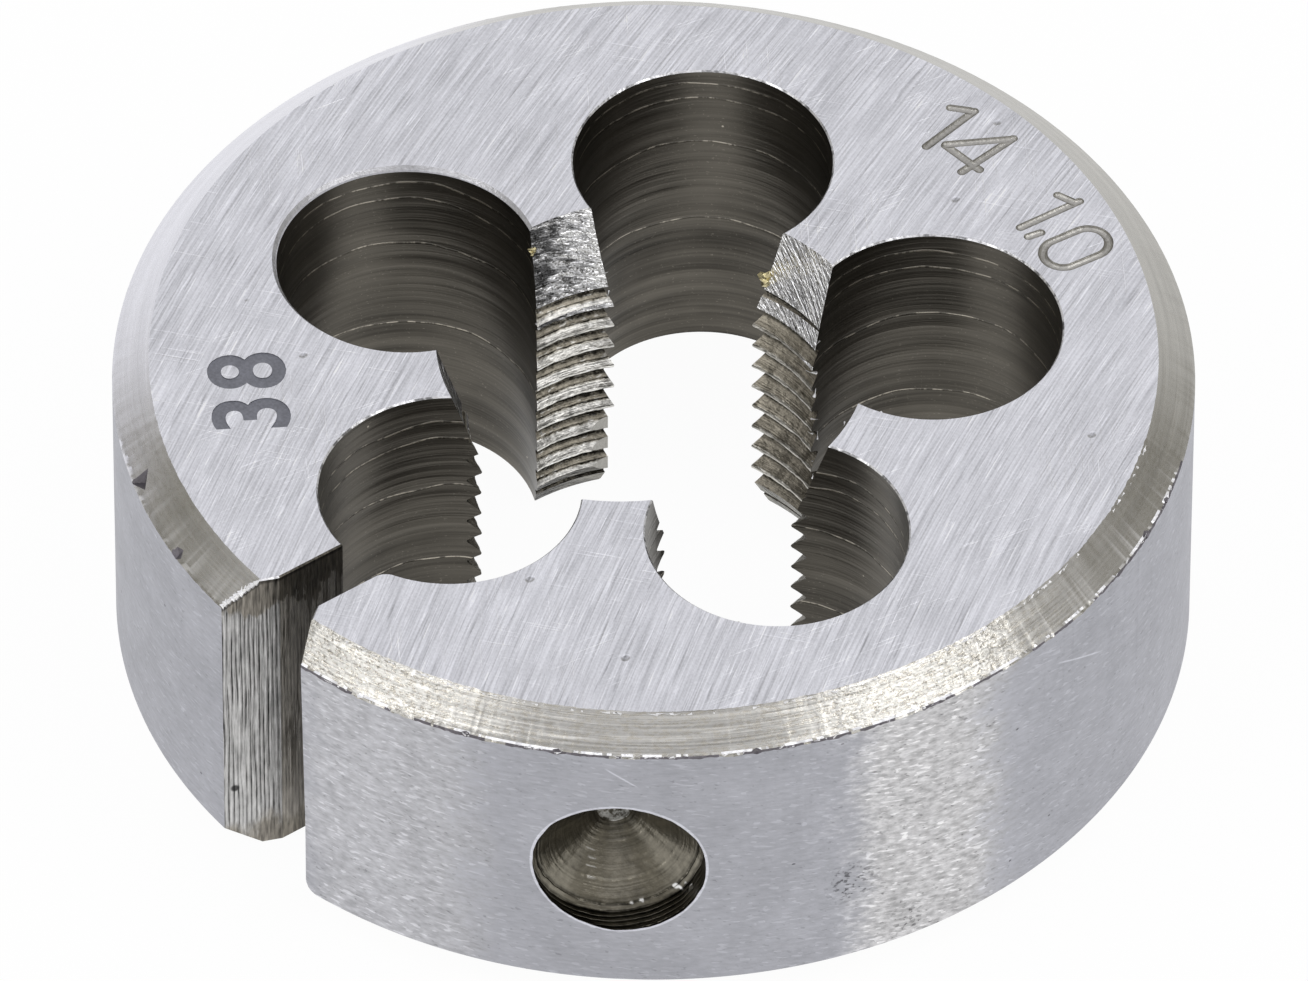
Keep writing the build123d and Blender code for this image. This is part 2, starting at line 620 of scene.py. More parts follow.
@dataclass(frozen=True)
class GroundRim(MetalFinish):
    """The ground outside, with short level flecks and small pits.

    Attributes:
        patches: Azimuth in degrees, half width in millimetres and strength of each painted sheen band, a painted
            reflection that makes the outside lighter, warmer and more mottled there.
        dimple_direction: Direction of the dimple's axis, in degrees.
        dimple_offset: How far that axis passes beside the die's own, in millimetres.
        dimple_height: Its height.
        mouth: Radius of the bright line round the dimple's mouth.
        pitted: Azimuth in degrees, height and radius in millimetres of each pitted spot.
        scratches: Azimuth and height of the middle of each scratch, half its length and its slant in degrees.
        warm: Colour of the painted sheen bands.
    """

    steel: Point = (0.475, 0.48, 0.52)
    warm: Point = (0.495, 0.49, 0.495)
    rough: float = 0.47
    stretch: float = 0.85
    patches: tuple[Point, ...] = ((-13.8, 2.7, 1.0), (-73.0, 3.3, 0.45), (166.0, 2.6, 0.35), (107.0, 3.0, 0.3))
    dimple_direction: float = -40.2
    dimple_offset: float = 2.37
    dimple_height: float = 6.5
    mouth: float = 3.04
    pitted: tuple[Point, ...] = ((-22.5, 4.6, 1.3), (-16.0, 1.9, 1.1))
    scratches: tuple[tuple[float, float, float, float], ...] = ((-47.2, 11.0, 0.8, -36.7), (7.6, 9.8, 1.6, -28.4))

    def corrosion(self, kit: Kit) -> Wire:
        """Masks the dark pits of the pitted spots.

        Args:
            kit: Adds the nodes.

        Returns:
            A mask that is 1 in the pits.
        """
        pits = kit.smooth(kit.grain((0.24, 0.24, 0.15), (0.0, 20.0, 0.0), 23.0, 3.0), 0.46, 0.38)
        spots = []
        for azimuth, height, radius in self.pitted:
            aside, above = kit.beside(azimuth), kit.height() - height
            near = kit.smooth(kit.maths("SQRT", aside * aside + above * above), radius, 0.3 * radius)
            spots.append(near * kit.facing(azimuth))
        return pits * total(spots)

    def wear_and_sheen(self, kit: Kit, cloud: Wire, mottle: Wire) -> Wire:
        """Masks the painted sheen bands, a painted reflection.

        Args:
            kit: Adds the nodes.
            cloud: Broad noise, which lets their edges wander.
            mottle: Fine noise, which frays them.

        Returns:
            How strongly the painted sheen lies on a place.
        """
        wander = (cloud - 0.5) * 3.4 + (mottle - 0.5) * 2.0
        shares = [kit.stretch(azimuth, half, 1.2, wander) * strength for azimuth, half, strength in self.patches]
        return total(shares)

    def mouth_line(self, kit: Kit) -> Wire:
        """Masks the bright line round the dimple's mouth.

        Args:
            kit: Adds the nodes.

        Returns:
            A mask that is 1 on the line.
        """
        across = kit.beside(self.dimple_direction) + self.dimple_offset
        above = kit.height() - self.dimple_height
        distance = kit.maths("SQRT", across * across + above * above)
        return kit.smooth(abs(distance - self.mouth), 0.07, 0.03) * kit.facing(self.dimple_direction)

    def scratched(self, kit: Kit) -> Wire:
        """Masks the long scratches.

        Args:
            kit: Adds the nodes.

        Returns:
            A mask that is 1 in the scratches.
        """
        lines = []
        for azimuth, height, half, slant in self.scratches:
            angle, slope = math.radians(azimuth), math.radians(slant)
            level = (-math.sin(angle), math.cos(angle))
            run = kit.along((level[0] * math.cos(slope), level[1] * math.cos(slope), math.sin(slope)))
            aside = kit.along((-level[0] * math.sin(slope), -level[1] * math.sin(slope), math.cos(slope)))
            run, aside = run - height * math.sin(slope), aside - height * math.cos(slope)
            line = kit.smooth(abs(aside), 0.05, 0.015) * kit.smooth(abs(run), half, 0.6 * half)
            lines.append(line * kit.facing(azimuth))
        return total(lines)

    def paint(self, kit: Kit) -> Look:
        """Paints the flecks, pits and mottling, and the painted sheen bands, which are lighter, warmer and more
        mottled.

        Args:
            kit: Adds the nodes.

        Returns:
            What goes into the shader.
        """
        level = kit.grain((0.8, 0.8, 0.1), seed=1.0)
        cloud = kit.grain((2.2, 2.2, 2.0), seed=3.0)
        mottle = kit.grain((0.42, 0.42, 0.16), (-15.0, -3.0, 0.0), 5.0, 3.0, 0.55)
        flecks = kit.smooth(kit.grain((0.42, 0.42, 0.1), (-15.0, -6.0, 0.0), 9.0, 0.0), 0.67, 0.74)
        scores = kit.smooth(kit.grain((0.28, 0.28, 0.11), (-20.0, 6.0, 0.0), 15.0, 1.0), 0.32, 0.26)
        pits = kit.specks((0.8, 0.8, 0.6), 0.05, 0.1, 7.0) + self.corrosion(kit)
        # Painted reflection: the sheen bands make the outside lighter, warmer and more mottled.
        wear_and_sheen = self.wear_and_sheen(kit, cloud, mottle)
        marks = (mottle - 0.5) * (0.45 + wear_and_sheen * 1.5) + flecks * (0.16 + wear_and_sheen * 0.4) - scores * (0.2 + wear_and_sheen * 0.3)
        gain = 1.0 + (level - 0.5) * 0.25 + (cloud - 0.5) * 0.3 + marks + wear_and_sheen * 0.24 - pits * 0.6
        gain = gain + self.mouth_line(kit) * (0.2 + mottle * 0.7) + self.scratched(kit) * 0.45
        height = (level - 0.5) * 0.008 + (mottle - 0.5) * (0.03 + wear_and_sheen * 0.06) + flecks * 0.01 - pits * 0.04
        colour = kit.blend(wear_and_sheen * 0.9, self.steel, self.warm)
        return Look(kit.lit(colour, gain), self.rough + (mottle - 0.5) * 0.2, height)


@dataclass(frozen=True)
class DrilledWall(MetalFinish):
    """The wall of a chip hole, dark from hardening, with the rings of the drill.

    Attributes:
        arcs: Heights of its bright scored arcs, in millimetres.
        tilt: Direction that they are square to, nearly the die's axis.
    """

    steel: Point = (0.1, 0.092, 0.078)
    rough: float = 0.34
    arcs: tuple[float, ...] = (11.9, 11.1, 8.9, 5.2)
    tilt: Point = (0.03, -0.03, 1.0)

    def paint(self, kit: Kit) -> Look:
        """Paints the rings, the scored arcs, bright dust and painted shade that leaves the wall's upper half lighter
        than its deeper part.

        Args:
            kit: Adds the nodes.

        Returns:
            What goes into the shader.
        """
        rings = kit.grain((6.0, 6.0, 0.1), (1.5, 0.0, 0.0), 1.0, 1.5)
        broad = kit.grain((9.0, 9.0, 0.55), (2.0, 0.0, 0.0), 5.0, 1.0)
        cloud = kit.grain((2.5, 2.5, 2.5), seed=3.0)
        # Painted shade: the wall is lighter in its upper half and darker deeper in the hole.
        upper = kit.smooth(kit.height(), 5.0, 7.5)
        level = kit.along(self.tilt) + (kit.grain((4.0, 4.0, 4.0), seed=8.0) - 0.5) * 0.9
        scored = total([kit.smooth(abs(level - height), 0.05, 0.018) for height in self.arcs])
        dashes = kit.smooth(kit.grain((0.5, 0.5, 1.5), seed=2.0, detail=3.0, rough=0.65), 0.42, 0.58)
        dust = kit.specks((0.8, 0.8, 0.8), 0.06, 0.07, 9.0)
        specks = kit.smooth(kit.grain((0.12, 0.12, 0.06), seed=14.0, detail=1.0), 0.66, 0.78)
        gain = 0.87 + upper * 0.31 + (rings - 0.5) * 0.8 + (broad - 0.5) * (1.3 - upper * 0.7) + (cloud - 0.5) * 0.9
        gain = gain + scored * dashes * 3.6 + dust * 4.0 + specks * 0.8
        height = (rings - 0.5) * 0.008 + (broad - 0.5) * 0.04 - scored * 0.01
        return Look(kit.lit(self.steel, gain), self.rough + (cloud - 0.5) * 0.15, height)


@dataclass(frozen=True)
class LeadCone(MetalFinish):
    """A reamed lead cone, bright and scratched.

    Attributes:
        scratch_turn: How the scratches are turned about each axis, in degrees.
        torn: Direction in which the cone is painted brighter, a painted light gradient, and gets stronger white
            scratches, on the land where the metal is torn most.
        hole: Axis of the chip hole towards which both lands beside it end in a torn white edge, in millimetres.
        hole_radius: Radius of that hole.
    """

    steel: Point = (0.72, 0.72, 0.735)
    rough: float = 0.3
    scratch_turn: Point = (0.0, 42.0, 0.0)
    torn: Point = (0.309, 0.951, 0.0)
    hole: Flat = (-5.79, 7.969)
    hole_radius: float = 4.6

    def paint(self, kit: Kit) -> Look:
        """Paints slanting scratches, torn spots and a painted light gradient that brightens the cone towards one
        side.

        Args:
            kit: Adds the nodes.

        Returns:
            What goes into the shader.
        """
        strokes = kit.grain((1.4, 1.4, 0.12), self.scratch_turn, 1.0, 2.0, 0.6)
        tears = kit.grain((0.6, 0.6, 0.17), self.scratch_turn, 4.0, 3.0, 0.65)
        cloud = kit.grain((1.4, 1.4, 1.0), seed=2.0)
        white = kit.smooth(kit.grain((0.8, 0.8, 0.1), self.scratch_turn, 7.0, 1.0), 0.58, 0.66)
        black = kit.smooth(kit.grain((0.7, 0.7, 0.1), self.scratch_turn, 9.0, 1.0), 0.32, 0.26)
        # Painted light: the cone gets lighter towards the torn direction, where its scratches also grow stronger.
        torn = kit.smooth(kit.along(self.torn), -1.7, 1.7)
        fine = kit.grain((0.5, 0.5, 0.05), self.scratch_turn, 12.0, 1.0)
        edge = kit.smooth(kit.from_axis(self.hole) - self.hole_radius + (tears - 0.5) * 0.9, 0.36, 0.1)
        gain = 0.19 + torn * 1.07 + (strokes - 0.5) * (1.2 + torn * 1.6) + (tears - 0.5) * (2.6 - torn * 0.8)
        gain = gain + (cloud - 0.5) * 0.7 + (fine - 0.5) * 1.6 + white * (0.5 + torn * 0.7) - black * 0.4 + edge * 0.8
        height = (strokes - 0.5) * 0.14 + (tears - 0.5) * 0.24
        return Look(kit.lit(self.steel, kit.maths("MAXIMUM", gain, 0.14)), self.rough, height)


@dataclass(frozen=True)
class ThreadFlank(MetalFinish):
    """The thread's flanks: brown from hardening in the roots, polished to the crests.

    Attributes:
        root: Colour in the roots.
        crest_radius: Radius of the crests, in millimetres.
    """

    steel: Point = (0.5, 0.495, 0.475)
    rough: float = 0.36
    root: Point = (0.175, 0.16, 0.13)
    crest_radius: float = 6.459

    def paint(self, kit: Kit) -> Look:
        """Paints the polish from the crests outwards, wider on the land that the cutting wore most, with painted
        shade in the roots and a painted highlight along the crests' edges.

        Args:
            kit: Adds the nodes.

        Returns:
            What goes into the shader.
        """
        radius = kit.from_axis()
        rings = kit.noise(kit.vector(radius / 0.035, kit.height() / 1.5, 1.0), 1.0)
        blots = kit.grain((0.35, 0.35, 0.15), seed=4.0, detail=3.0, rough=0.65)
        wear_and_sheen = kit.smooth(kit.along((1.0, 0.0, 0.0)), -3.5, -5.5)
        depth = radius - self.crest_radius
        reach = depth - (blots - 0.5) * 0.1 - wear_and_sheen * 0.15
        polish = kit.smooth(reach, 0.09, 0.01)
        groove = kit.smooth(abs(reach - 0.1), 0.03, 0.012) * wear_and_sheen
        # Painted shade: darker towards the roots, between the teeth.
        bottom = kit.smooth(depth, 0.32, 0.42)
        # Painted highlight along the crests' edges.
        edge = kit.smooth(depth, 0.045, 0.015)
        flecks = kit.smooth(kit.grain((0.3, 0.3, 0.07), seed=8.0, detail=1.0), 0.62, 0.7) * wear_and_sheen
        colour = kit.blend(polish * (0.45 + wear_and_sheen * 0.3) + flecks * 0.5, self.root, self.steel)
        grit = kit.grain((0.1, 0.1, 0.05), seed=16.0, detail=1.0)
        gain = 1.24 - wear_and_sheen * 0.14 + (rings - 0.5) * 1.4 + (blots - 0.5) * (0.5 + wear_and_sheen * 1.6) + (grit - 0.5) * 1.1
        gain = gain - groove * 0.8 + edge * (0.45 + wear_and_sheen * 0.5)
        gain = kit.maths("MAXIMUM", gain - bottom * 0.85, 0.08)
        return Look(kit.lit(colour, gain), self.rough, (rings - 0.5) * 0.01 + (blots - 0.5) * 0.03)


@dataclass(frozen=True)
class SawnWall(MetalFinish):
    """A wall cut along the die's axis, with sharp upright lines between two smooth brown ends.

    Attributes:
        brown: Colour of the smooth ends.
        line: Spacing of the lines along Y, in millimetres.
        contrast: How strongly they show.
        depth: Their depth, in millimetres.
        lined: Heights between which the lines run.
        foot: Places along Y between which painted shading changes the tone at the notch's foot, standing in for a
            rounded corner, in millimetres, and by how much.
        top: Height of the start face, radius of its chamfer's upper edge and the chamfer's fall for each millimetre,
            which place the painted shadow under the upper edge.
        pit: Where one dark pit lies, in millimetres.
    """

    steel: Point = (0.155, 0.145, 0.13)
    rough: float = 0.36
    brown: Point = (0.115, 0.105, 0.088)
    line: float = 0.139
    contrast: float = 0.45
    depth: float = 0.02
    lined: Flat = (1.2, 11.5)
    foot: Point = (-16.2, -17.05, 0.8)
    top: Point = (13.0, 17.7, 0.808)
    pit: Point = (-1.8, -18.55, 2.95)

    def painted_shadow_and_pit(self, kit: Kit) -> Wire:
        """Gives the painted shadow under the upper edge, and the dark pit.

        Args:
            kit: Adds the nodes.

        Returns:
            The share of the light that they take away.
        """
        height, radius, fall = self.top
        chamfered = kit.maths("MAXIMUM", kit.from_axis() - radius, 0.0) * fall
        below = height - chamfered - kit.height()
        centre = tuple(part * MM for part in self.pit)
        away = kit.node("ShaderNodeVectorMath", {"operation": "DISTANCE"}, {0: kit.place(), 1: centre}, "Value") / MM
        return kit.smooth(below, 0.26, 0.14) * 0.6 + kit.smooth(away, 0.2, 0.1) * 0.85

    def paint(self, kit: Kit) -> Look:
        """Paints the lines, which wander a little, a cloud of brown, painted shading at the notch's foot and a
        painted shadow under the upper edge with the dark pit.

        Args:
            kit: Adds the nodes.

        Returns:
            What goes into the shader.
        """
        wobble = kit.grain((0.5, 0.5, 5.0), seed=3.0, detail=1.0)
        hair = kit.grain((0.06, 0.06, 1.2), seed=5.0, detail=1.0)
        stain = kit.grain((0.2, 0.2, 0.7), seed=9.0, detail=3.0, rough=0.6)
        streak = kit.grain((0.1, 0.1, 0.9), seed=13.0)
        cloud = kit.grain((1.0, 1.0, 1.4), seed=7.0, detail=3.0)
        faint = kit.smooth(kit.grain((0.2, 0.2, 3.0), seed=11.0), 0.34, 0.56)
        place = kit.along((0.0, 1.0, 0.0)) + (wobble - 0.5) * 0.16
        wave = kit.maths("SINE", place * (2 * math.pi / self.line))
        height_up = kit.height() + (cloud - 0.5) * 3.0 + (stain - 0.5) * 1.0
        low, high = self.lined
        lined = kit.smooth(height_up, low - 0.5, low + 0.5) * kit.smooth(height_up, high + 0.2, high - 0.2)
        dark = kit.smooth(wave, 0.35, 0.95) * lined * faint
        light = kit.smooth(wave, -0.5, -0.95) * lined * faint
        colour = kit.blend(lined, self.brown, self.steel)
        gain = 0.98 + light * 0.35 * self.contrast - dark * self.contrast + (hair - 0.5) * 0.7
        gain = gain + (cloud - 0.5) * 0.5 + (stain - 0.5) * 1.2 + (streak - 0.5) * 2.4 * (1.0 - lined)
        # Painted shading at the notch's foot: the slot wall gets lighter and the V face darker there, standing in for
        # a rounded corner.
        start, end, change = self.foot
        gain = gain * (1.0 + kit.smooth(kit.along((0.0, 1.0, 0.0)), start, end) * change)
        # The painted shadow under the upper edge, and the dark pit, take light away.
        gain = kit.maths("MAXIMUM", gain * (1.0 - self.painted_shadow_and_pit(kit)), 0.05)
        height = (light - dark) * self.depth + (hair - 0.5) * 0.006 + (stain - 0.5) * 0.02
        return Look(kit.lit(colour, gain), self.rough, height)


@dataclass(frozen=True)
class DrilledDimple(MetalFinish):
    """The drilled dimple, with rings round its own axis and a pale flat at its tip.

    Attributes:
        axis: Direction of its axis.
        across: Level direction square to that axis.
        floor: Distance of its tip along that axis, in millimetres.
        wall: Distance at which its cone ends and its short wall starts.
        shine: Place along the level direction and height of a stack of painted glints, in millimetres.
        mouth: Distance from the die's axis at which a painted shadow darkens its wall below its mouth, in
            millimetres.
    """

    steel: Point = (0.205, 0.19, 0.155)
    rough: float = 0.28
    axis: Point = (0.764, -0.645, 0.0)
    across: Point = (0.645, 0.764, 0.0)
    floor: float = 15.85
    wall: float = 17.95
    shine: Flat = (-3.2, 4.95)
    mouth: float = 18.86

    def paint(self, kit: Kit) -> Look:
        """Paints the drill's rings, painted glints on them, dark grooves with painted shade at the cone's edge, a
        painted shadow below the mouth and the speckled tip.

        Args:
            kit: Adds the nodes.

        Returns:
            What goes into the shader.
        """
        depth = kit.along(self.axis)
        rings = kit.noise(kit.vector(depth / 0.09, 0.0, 0.0), 1.0)
        blots = kit.grain((0.3, 0.3, 0.3), seed=2.0, detail=3.0, rough=0.65)
        patch = kit.grain((1.3, 1.3, 1.3), seed=5.0)
        # Painted highlights: glints on the rings.
        glints = kit.smooth(rings, 0.6, 0.7) * kit.smooth(blots, 0.52, 0.62)
        # Painted shade in the crease where the cone meets its short wall, with lighter ridges between the grooves
        # there.
        edge = kit.smooth(depth + (patch - 0.5) * 0.2, self.wall - 0.26, self.wall - 0.2)
        wave = kit.maths("SINE", depth * (2 * math.pi / 0.24) + patch * 5.0)
        grooves = edge * kit.smooth(wave, -0.3, 0.3)
        # Painted glints: white specks at the cone's edge.
        sparks = edge * kit.smooth(kit.grain((0.6, 0.6, 0.6), seed=11.0), 0.63, 0.7)
        low = kit.smooth(depth, self.floor + 0.34, self.floor + 0.1)
        # Painted glints: a stack of them beside the axis.
        beside = kit.smooth(abs(kit.along(self.across) + (blots - 0.5) * 0.8 - self.shine[0]), 0.22, 0.06)
        stack = beside * kit.smooth(abs(kit.height() - self.shine[1]), 0.6, 0.3)
        glare = stack * kit.smooth(rings, 0.5, 0.62) * 0.6
        gain = 1.0 + (rings - 0.5) * 0.9 + (blots - 0.5) * 1.1 + (patch - 0.5) * 1.2 + glints * 1.0
        # Painted shadow just inside the mouth.
        mouth = kit.smooth(kit.from_axis() + (blots - 0.5) * 0.3, self.mouth - 0.08, self.mouth)
        gain = gain + edge * kit.smooth(wave, -0.5, -0.9) * 0.3
        gain = kit.maths("MAXIMUM", gain - edge * 0.25 - grooves * 0.4 - low * 0.4 - mouth * 0.6, 0.1)
        tip = kit.smooth(depth, self.floor + 0.015, self.floor + 0.005) * kit.smooth(blots, 0.4, 0.56)
        colour = kit.blend(tip, kit.lit(self.steel, gain), kit.lit((0.5, 0.5, 0.48), 0.3 + blots * 1.4))
        colour = kit.blend(sparks + glare, colour, (0.9, 0.9, 0.9))
        return Look(colour, self.rough, (rings - 0.5) * 0.014 + (blots - 0.5) * 0.014 - grooves * 0.015)


@dataclass(frozen=True)
class BrokenEdge(MetalFinish):
    """A burred edge, bright with darker gaps."""

    steel: Point = (0.72, 0.72, 0.74)
    rough: float = 0.35

    def paint(self, kit: Kit) -> Look:
        """Paints the gaps.

        Args:
            kit: Adds the nodes.

        Returns:
            What goes into the shader.
        """
        gaps = kit.grain((0.6, 0.6, 0.6), seed=1.0, detail=3.0, rough=0.65)
        gain = 0.3 + kit.smooth(gaps, 0.4, 0.55) * 0.75
        return Look(kit.lit(self.steel, gain), self.rough, (gaps - 0.5) * 0.05)


@dataclass(frozen=True)
class Mark(MetalFinish):
    """A number pressed or etched into the start face."""

    steel: Point = (0.24, 0.245, 0.275)
    rough: float = 0.6

    def paint(self, kit: Kit) -> Look:
        """Paints its grainy floor.

        Args:
            kit: Adds the nodes.

        Returns:
            What goes into the shader.
        """
        grains = kit.grain((0.12, 0.12, 0.12), seed=1.0, detail=3.0, rough=0.6)
        cloud = kit.grain((0.8, 0.8, 0.8), seed=2.0)
        gain = 1.0 + (grains - 0.5) * 0.7 + (cloud - 0.5) * 0.4
        return Look(kit.lit(self.steel, gain), self.rough, (grains - 0.5) * 0.02)


FINISHES: dict[Finish, MetalFinish] = {
    Finish.GROUND_FACE: GroundFace(),
    Finish.TURNED_CHAMFER: TurnedChamfer(),
    Finish.GROUND_RIM: GroundRim(),
    Finish.DRILLED_WALL: DrilledWall(),
    Finish.LEAD_CONE: LeadCone(),
    Finish.THREAD: ThreadFlank(),
    Finish.SLOT_WALL: SawnWall(),
    Finish.NOTCH_FACE: SawnWall(
        steel=(0.54, 0.535, 0.53),
        rough=0.38,
        brown=(0.26, 0.24, 0.21),
        contrast=0.75,
        depth=0.035,
        # Painted shade: the V face gets darker towards the notch's foot.
        foot=(-17.6, -17.1, -0.35),
    ),
    Finish.DIMPLE: DrilledDimple(),
    Finish.EDGE_BREAK: BrokenEdge(),
    Finish.ETCHED: Mark(),
    Finish.ENGRAVED: Mark(steel=(0.38, 0.37, 0.345), rough=0.35),
    # Dark chips, also the painted shade under the chamfer's lip.
    Finish.CHIPPED_AND_SHADE: Mark(steel=(0.17, 0.16, 0.175), rough=0.5),
    Finish.BACK_LEAD: LeadCone(steel=(0.13, 0.125, 0.11)),
    Finish.SCOOPED: Mark(steel=(0.5, 0.5, 0.52), rough=0.42),
    Finish.BURR: Mark(steel=(0.95, 0.95, 0.97), rough=0.5),
    Finish.SWARF: Mark(steel=(0.72, 0.64, 0.38), rough=0.35),
}


def alone(piece: Mesh) -> None:
    """Makes a piece the only one selected, and the active one.

    Args:
        piece: The piece that the next operators act on.
    """
    bpy.ops.object.select_all(action="DESELECT")
    piece.select_set(True)
    bpy.context.view_layer.objects.active = piece


@contextmanager
def editing(piece: Mesh, kind: Pick, wanted: Callable[[Any], bool]) -> Iterator[None]:
    """Opens a piece in edit mode with some of its elements selected, and closes it afterwards.

    Args:
        piece: The piece to edit.
        kind: What is selected.
        wanted: Says of each vertex, edge or polygon whether it is selected.

    Yields:
        Nothing, while the piece is open.
    """
    alone(piece)
    mesh = piece.data
    for elements in (mesh.vertices, mesh.edges, mesh.polygons):
        elements.foreach_set("select", [False] * len(elements))
    chosen = {Pick.VERTEX: mesh.vertices, Pick.EDGE: mesh.edges, Pick.FACE: mesh.polygons}[kind]
    chosen.foreach_set("select", [wanted(element) for element in chosen])
    bpy.context.tool_settings.mesh_select_mode = [kind is one for one in Pick]
    bpy.ops.object.mode_set(mode="EDIT")
    try:
        yield
    finally:
        bpy.ops.object.mode_set(mode="OBJECT")


def everything(_element: Any) -> bool:
    """Selects all."""
    return True


def settle(piece: Mesh) -> Mesh:
    """Applies a piece's place, turn and scale to its mesh.

    Args:
        piece: The piece, which moves nowhere.

    Returns:
        The same piece.
    """
    alone(piece)
    bpy.ops.object.transform_apply(location=True, rotation=True, scale=True)
    return piece


def place(piece: Mesh, turn: float = 0.0, move: Point = (0.0, 0.0, 0.0)) -> Mesh:
    """Turns a piece about Z, moves it and applies both.

    Args:
        piece: The piece.
        turn: Degrees about Z.
        move: Where its origin goes, in millimetres.

    Returns:
        The same piece.
    """
    piece.rotation_euler = (0.0, 0.0, math.radians(turn))
    piece.location = move
    return settle(piece)


def clean(piece: Mesh, reach: float = TOUCH) -> Mesh:
    """Merges doubled vertices and turns all faces outwards.

    Args:
        piece: The piece.
        reach: How far apart doubles may lie, in its own units.

    Returns:
        The same piece.
    """
    with editing(piece, Pick.VERTEX, everything):
        bpy.ops.mesh.remove_doubles(threshold=reach)
        bpy.ops.mesh.normals_make_consistent(inside=False)
    return piece


def dress(piece: Mesh, material: bpy.types.Material, wanted: Callable[[Any], bool] = everything) -> Mesh:
    """Gives a material to some faces of a piece.

    Args:
        piece: The piece.
        material: The material, which is added to the piece if it isn't there.
        wanted: Says of each polygon whether it gets the material.

    Returns:
        The same piece.
    """
    if material.name not in piece.data.materials:
        piece.data.materials.append(material)
    index = piece.data.materials.find(material.name)
    for face in piece.data.polygons:
        if wanted(face):
            face.material_index = index
    return piece


def cut(body: Mesh, cutter: Mesh, operation: str = "DIFFERENCE") -> Mesh:
    """Cuts one closed mesh with another, whose materials go on the new faces, and removes the cutter.

    Args:
        body: What is cut.
        cutter: What cuts.
        operation: The Boolean modifier's operation.

    Returns:
        The body.
    """
    alone(body)
    modifier = body.modifiers.new("cut", "BOOLEAN")
    modifier.object = cutter
    modifier.operation = operation
    modifier.solver = "EXACT"
    modifier.material_mode = "TRANSFER"
    bpy.ops.object.modifier_apply(modifier=modifier.name)
    bpy.data.objects.remove(cutter)
    return body


def join(pieces: Sequence[Mesh]) -> Mesh:
    """Joins pieces that don't touch into the first of them.

    Args:
        pieces: The pieces.

    Returns:
        The joined piece.
    """
    alone(pieces[0])
    for piece in pieces[1:]:
        piece.select_set(True)
    bpy.ops.object.join()
    return pieces[0]


def prism(outline: Sequence[Flat], low: float, high: float) -> Mesh:
    """Makes an upright prism from a flat outline.

    Args:
        outline: Its corners, counter-clockwise from above, in millimetres.
        low: Height of its foot.
        high: Height of its top.

    Returns:
        The prism.
    """
    bpy.ops.mesh.primitive_circle_add(vertices=len(outline), radius=1.0, fill_type="NGON")
    piece = bpy.context.object
    for vertex, (x, y) in zip(piece.data.vertices, outline):
        vertex.co = (x, y, low)
    with editing(piece, Pick.FACE, everything):
        bpy.ops.mesh.extrude_region_move(TRANSFORM_OT_translate={"value": (0.0, 0.0, high - low)})
    return clean(piece)


def cylinder(radius: float, low: float, high: float, segments: int, top_radius: Optional[float] = None) -> Mesh:
    """Makes an upright cylinder or cone on the Z axis.

    Args:
        radius: Its radius, at the foot if it is a cone, in millimetres.
        low: Height of its foot.
        high: Height of its top.
        segments: Sides round it.
        top_radius: Radius at the top of a cone.

    Returns:
        The piece.
    """
    bpy.ops.mesh.primitive_cone_add(
        vertices=segments,
        radius1=radius,
        radius2=radius if top_radius is None else top_radius,
        depth=high - low,
        location=(0.0, 0.0, (high + low) / 2),
    )
    return settle(bpy.context.object)


def grow(piece: Mesh, up: float, scale: Flat, centre: Flat = (0.0, 0.0)) -> Mesh:
    """Extrudes the top or bottom face of an upright piece and resizes what it becomes.

    Args:
        piece: The piece.
        up: How far its top face moves up or, where negative, its bottom face moves down.
        scale: Share of its size that the new end has along X and Y.
        centre: Where the resizing is centred.

    Returns:
        The same piece.
    """
    side = math.copysign(1.0, up)
    end = max(side * vertex.co.z for vertex in piece.data.vertices)
    with editing(piece, Pick.FACE, lambda face: side * face.center.z > end - TOUCH):
        bpy.ops.mesh.extrude_region_move(TRANSFORM_OT_translate={"value": (0.0, 0.0, up)})
        bpy.ops.transform.resize(value=(*scale, 1.0), center_override=(*centre, 0.0))
    return piece


@dataclass
class Bench:
    """Sizes and materials that the cutters share.

    Attributes:
        sizes: Sizes of the die.
        materials: The material of each finish.
        overrun: How far a cutter passes the faces, in millimetres.
    """

    sizes: DieSizes
    materials: dict[Finish, bpy.types.Material]
    overrun: float = 0.5

    @property
    def low(self) -> float:
        """Height at which a cutter starts to flare for the back face's edge."""
        return self.sizes.edge_break

    @property
    def high(self) -> float:
        """Height at which a cutter starts to flare for the start face's edge."""
        return self.sizes.thickness - self.sizes.edge_break

    def flare(self, piece: Mesh, finish: Finish, reach: Flat, centre: Flat = (0.0, 0.0)) -> Mesh:
        """Flares both ends of an upright cutter at 45 degrees, which breaks the edges that it leaves.

        Args:
            piece: The cutter, from the low to the high height.
            finish: What its walls leave.
            reach: Distance of its walls from the centre along X and Y.
            centre: Its centre.

        Returns:
            The same cutter, dressed.
        """
        dress(piece, self.materials[finish])
        rise = self.sizes.edge_break + self.overrun
        scale = (1 + rise / reach[0], 1 + rise / reach[1])
        for up in (rise, -rise):
            grow(piece, up, scale, centre)
        mid, half = self.sizes.thickness / 2, self.sizes.thickness / 2 - self.sizes.edge_break
        return dress(
            piece,
            self.materials[Finish.EDGE_BREAK],
            lambda face: half < abs(face.center.z - mid) and abs(face.normal.z) < LEVEL,
        )


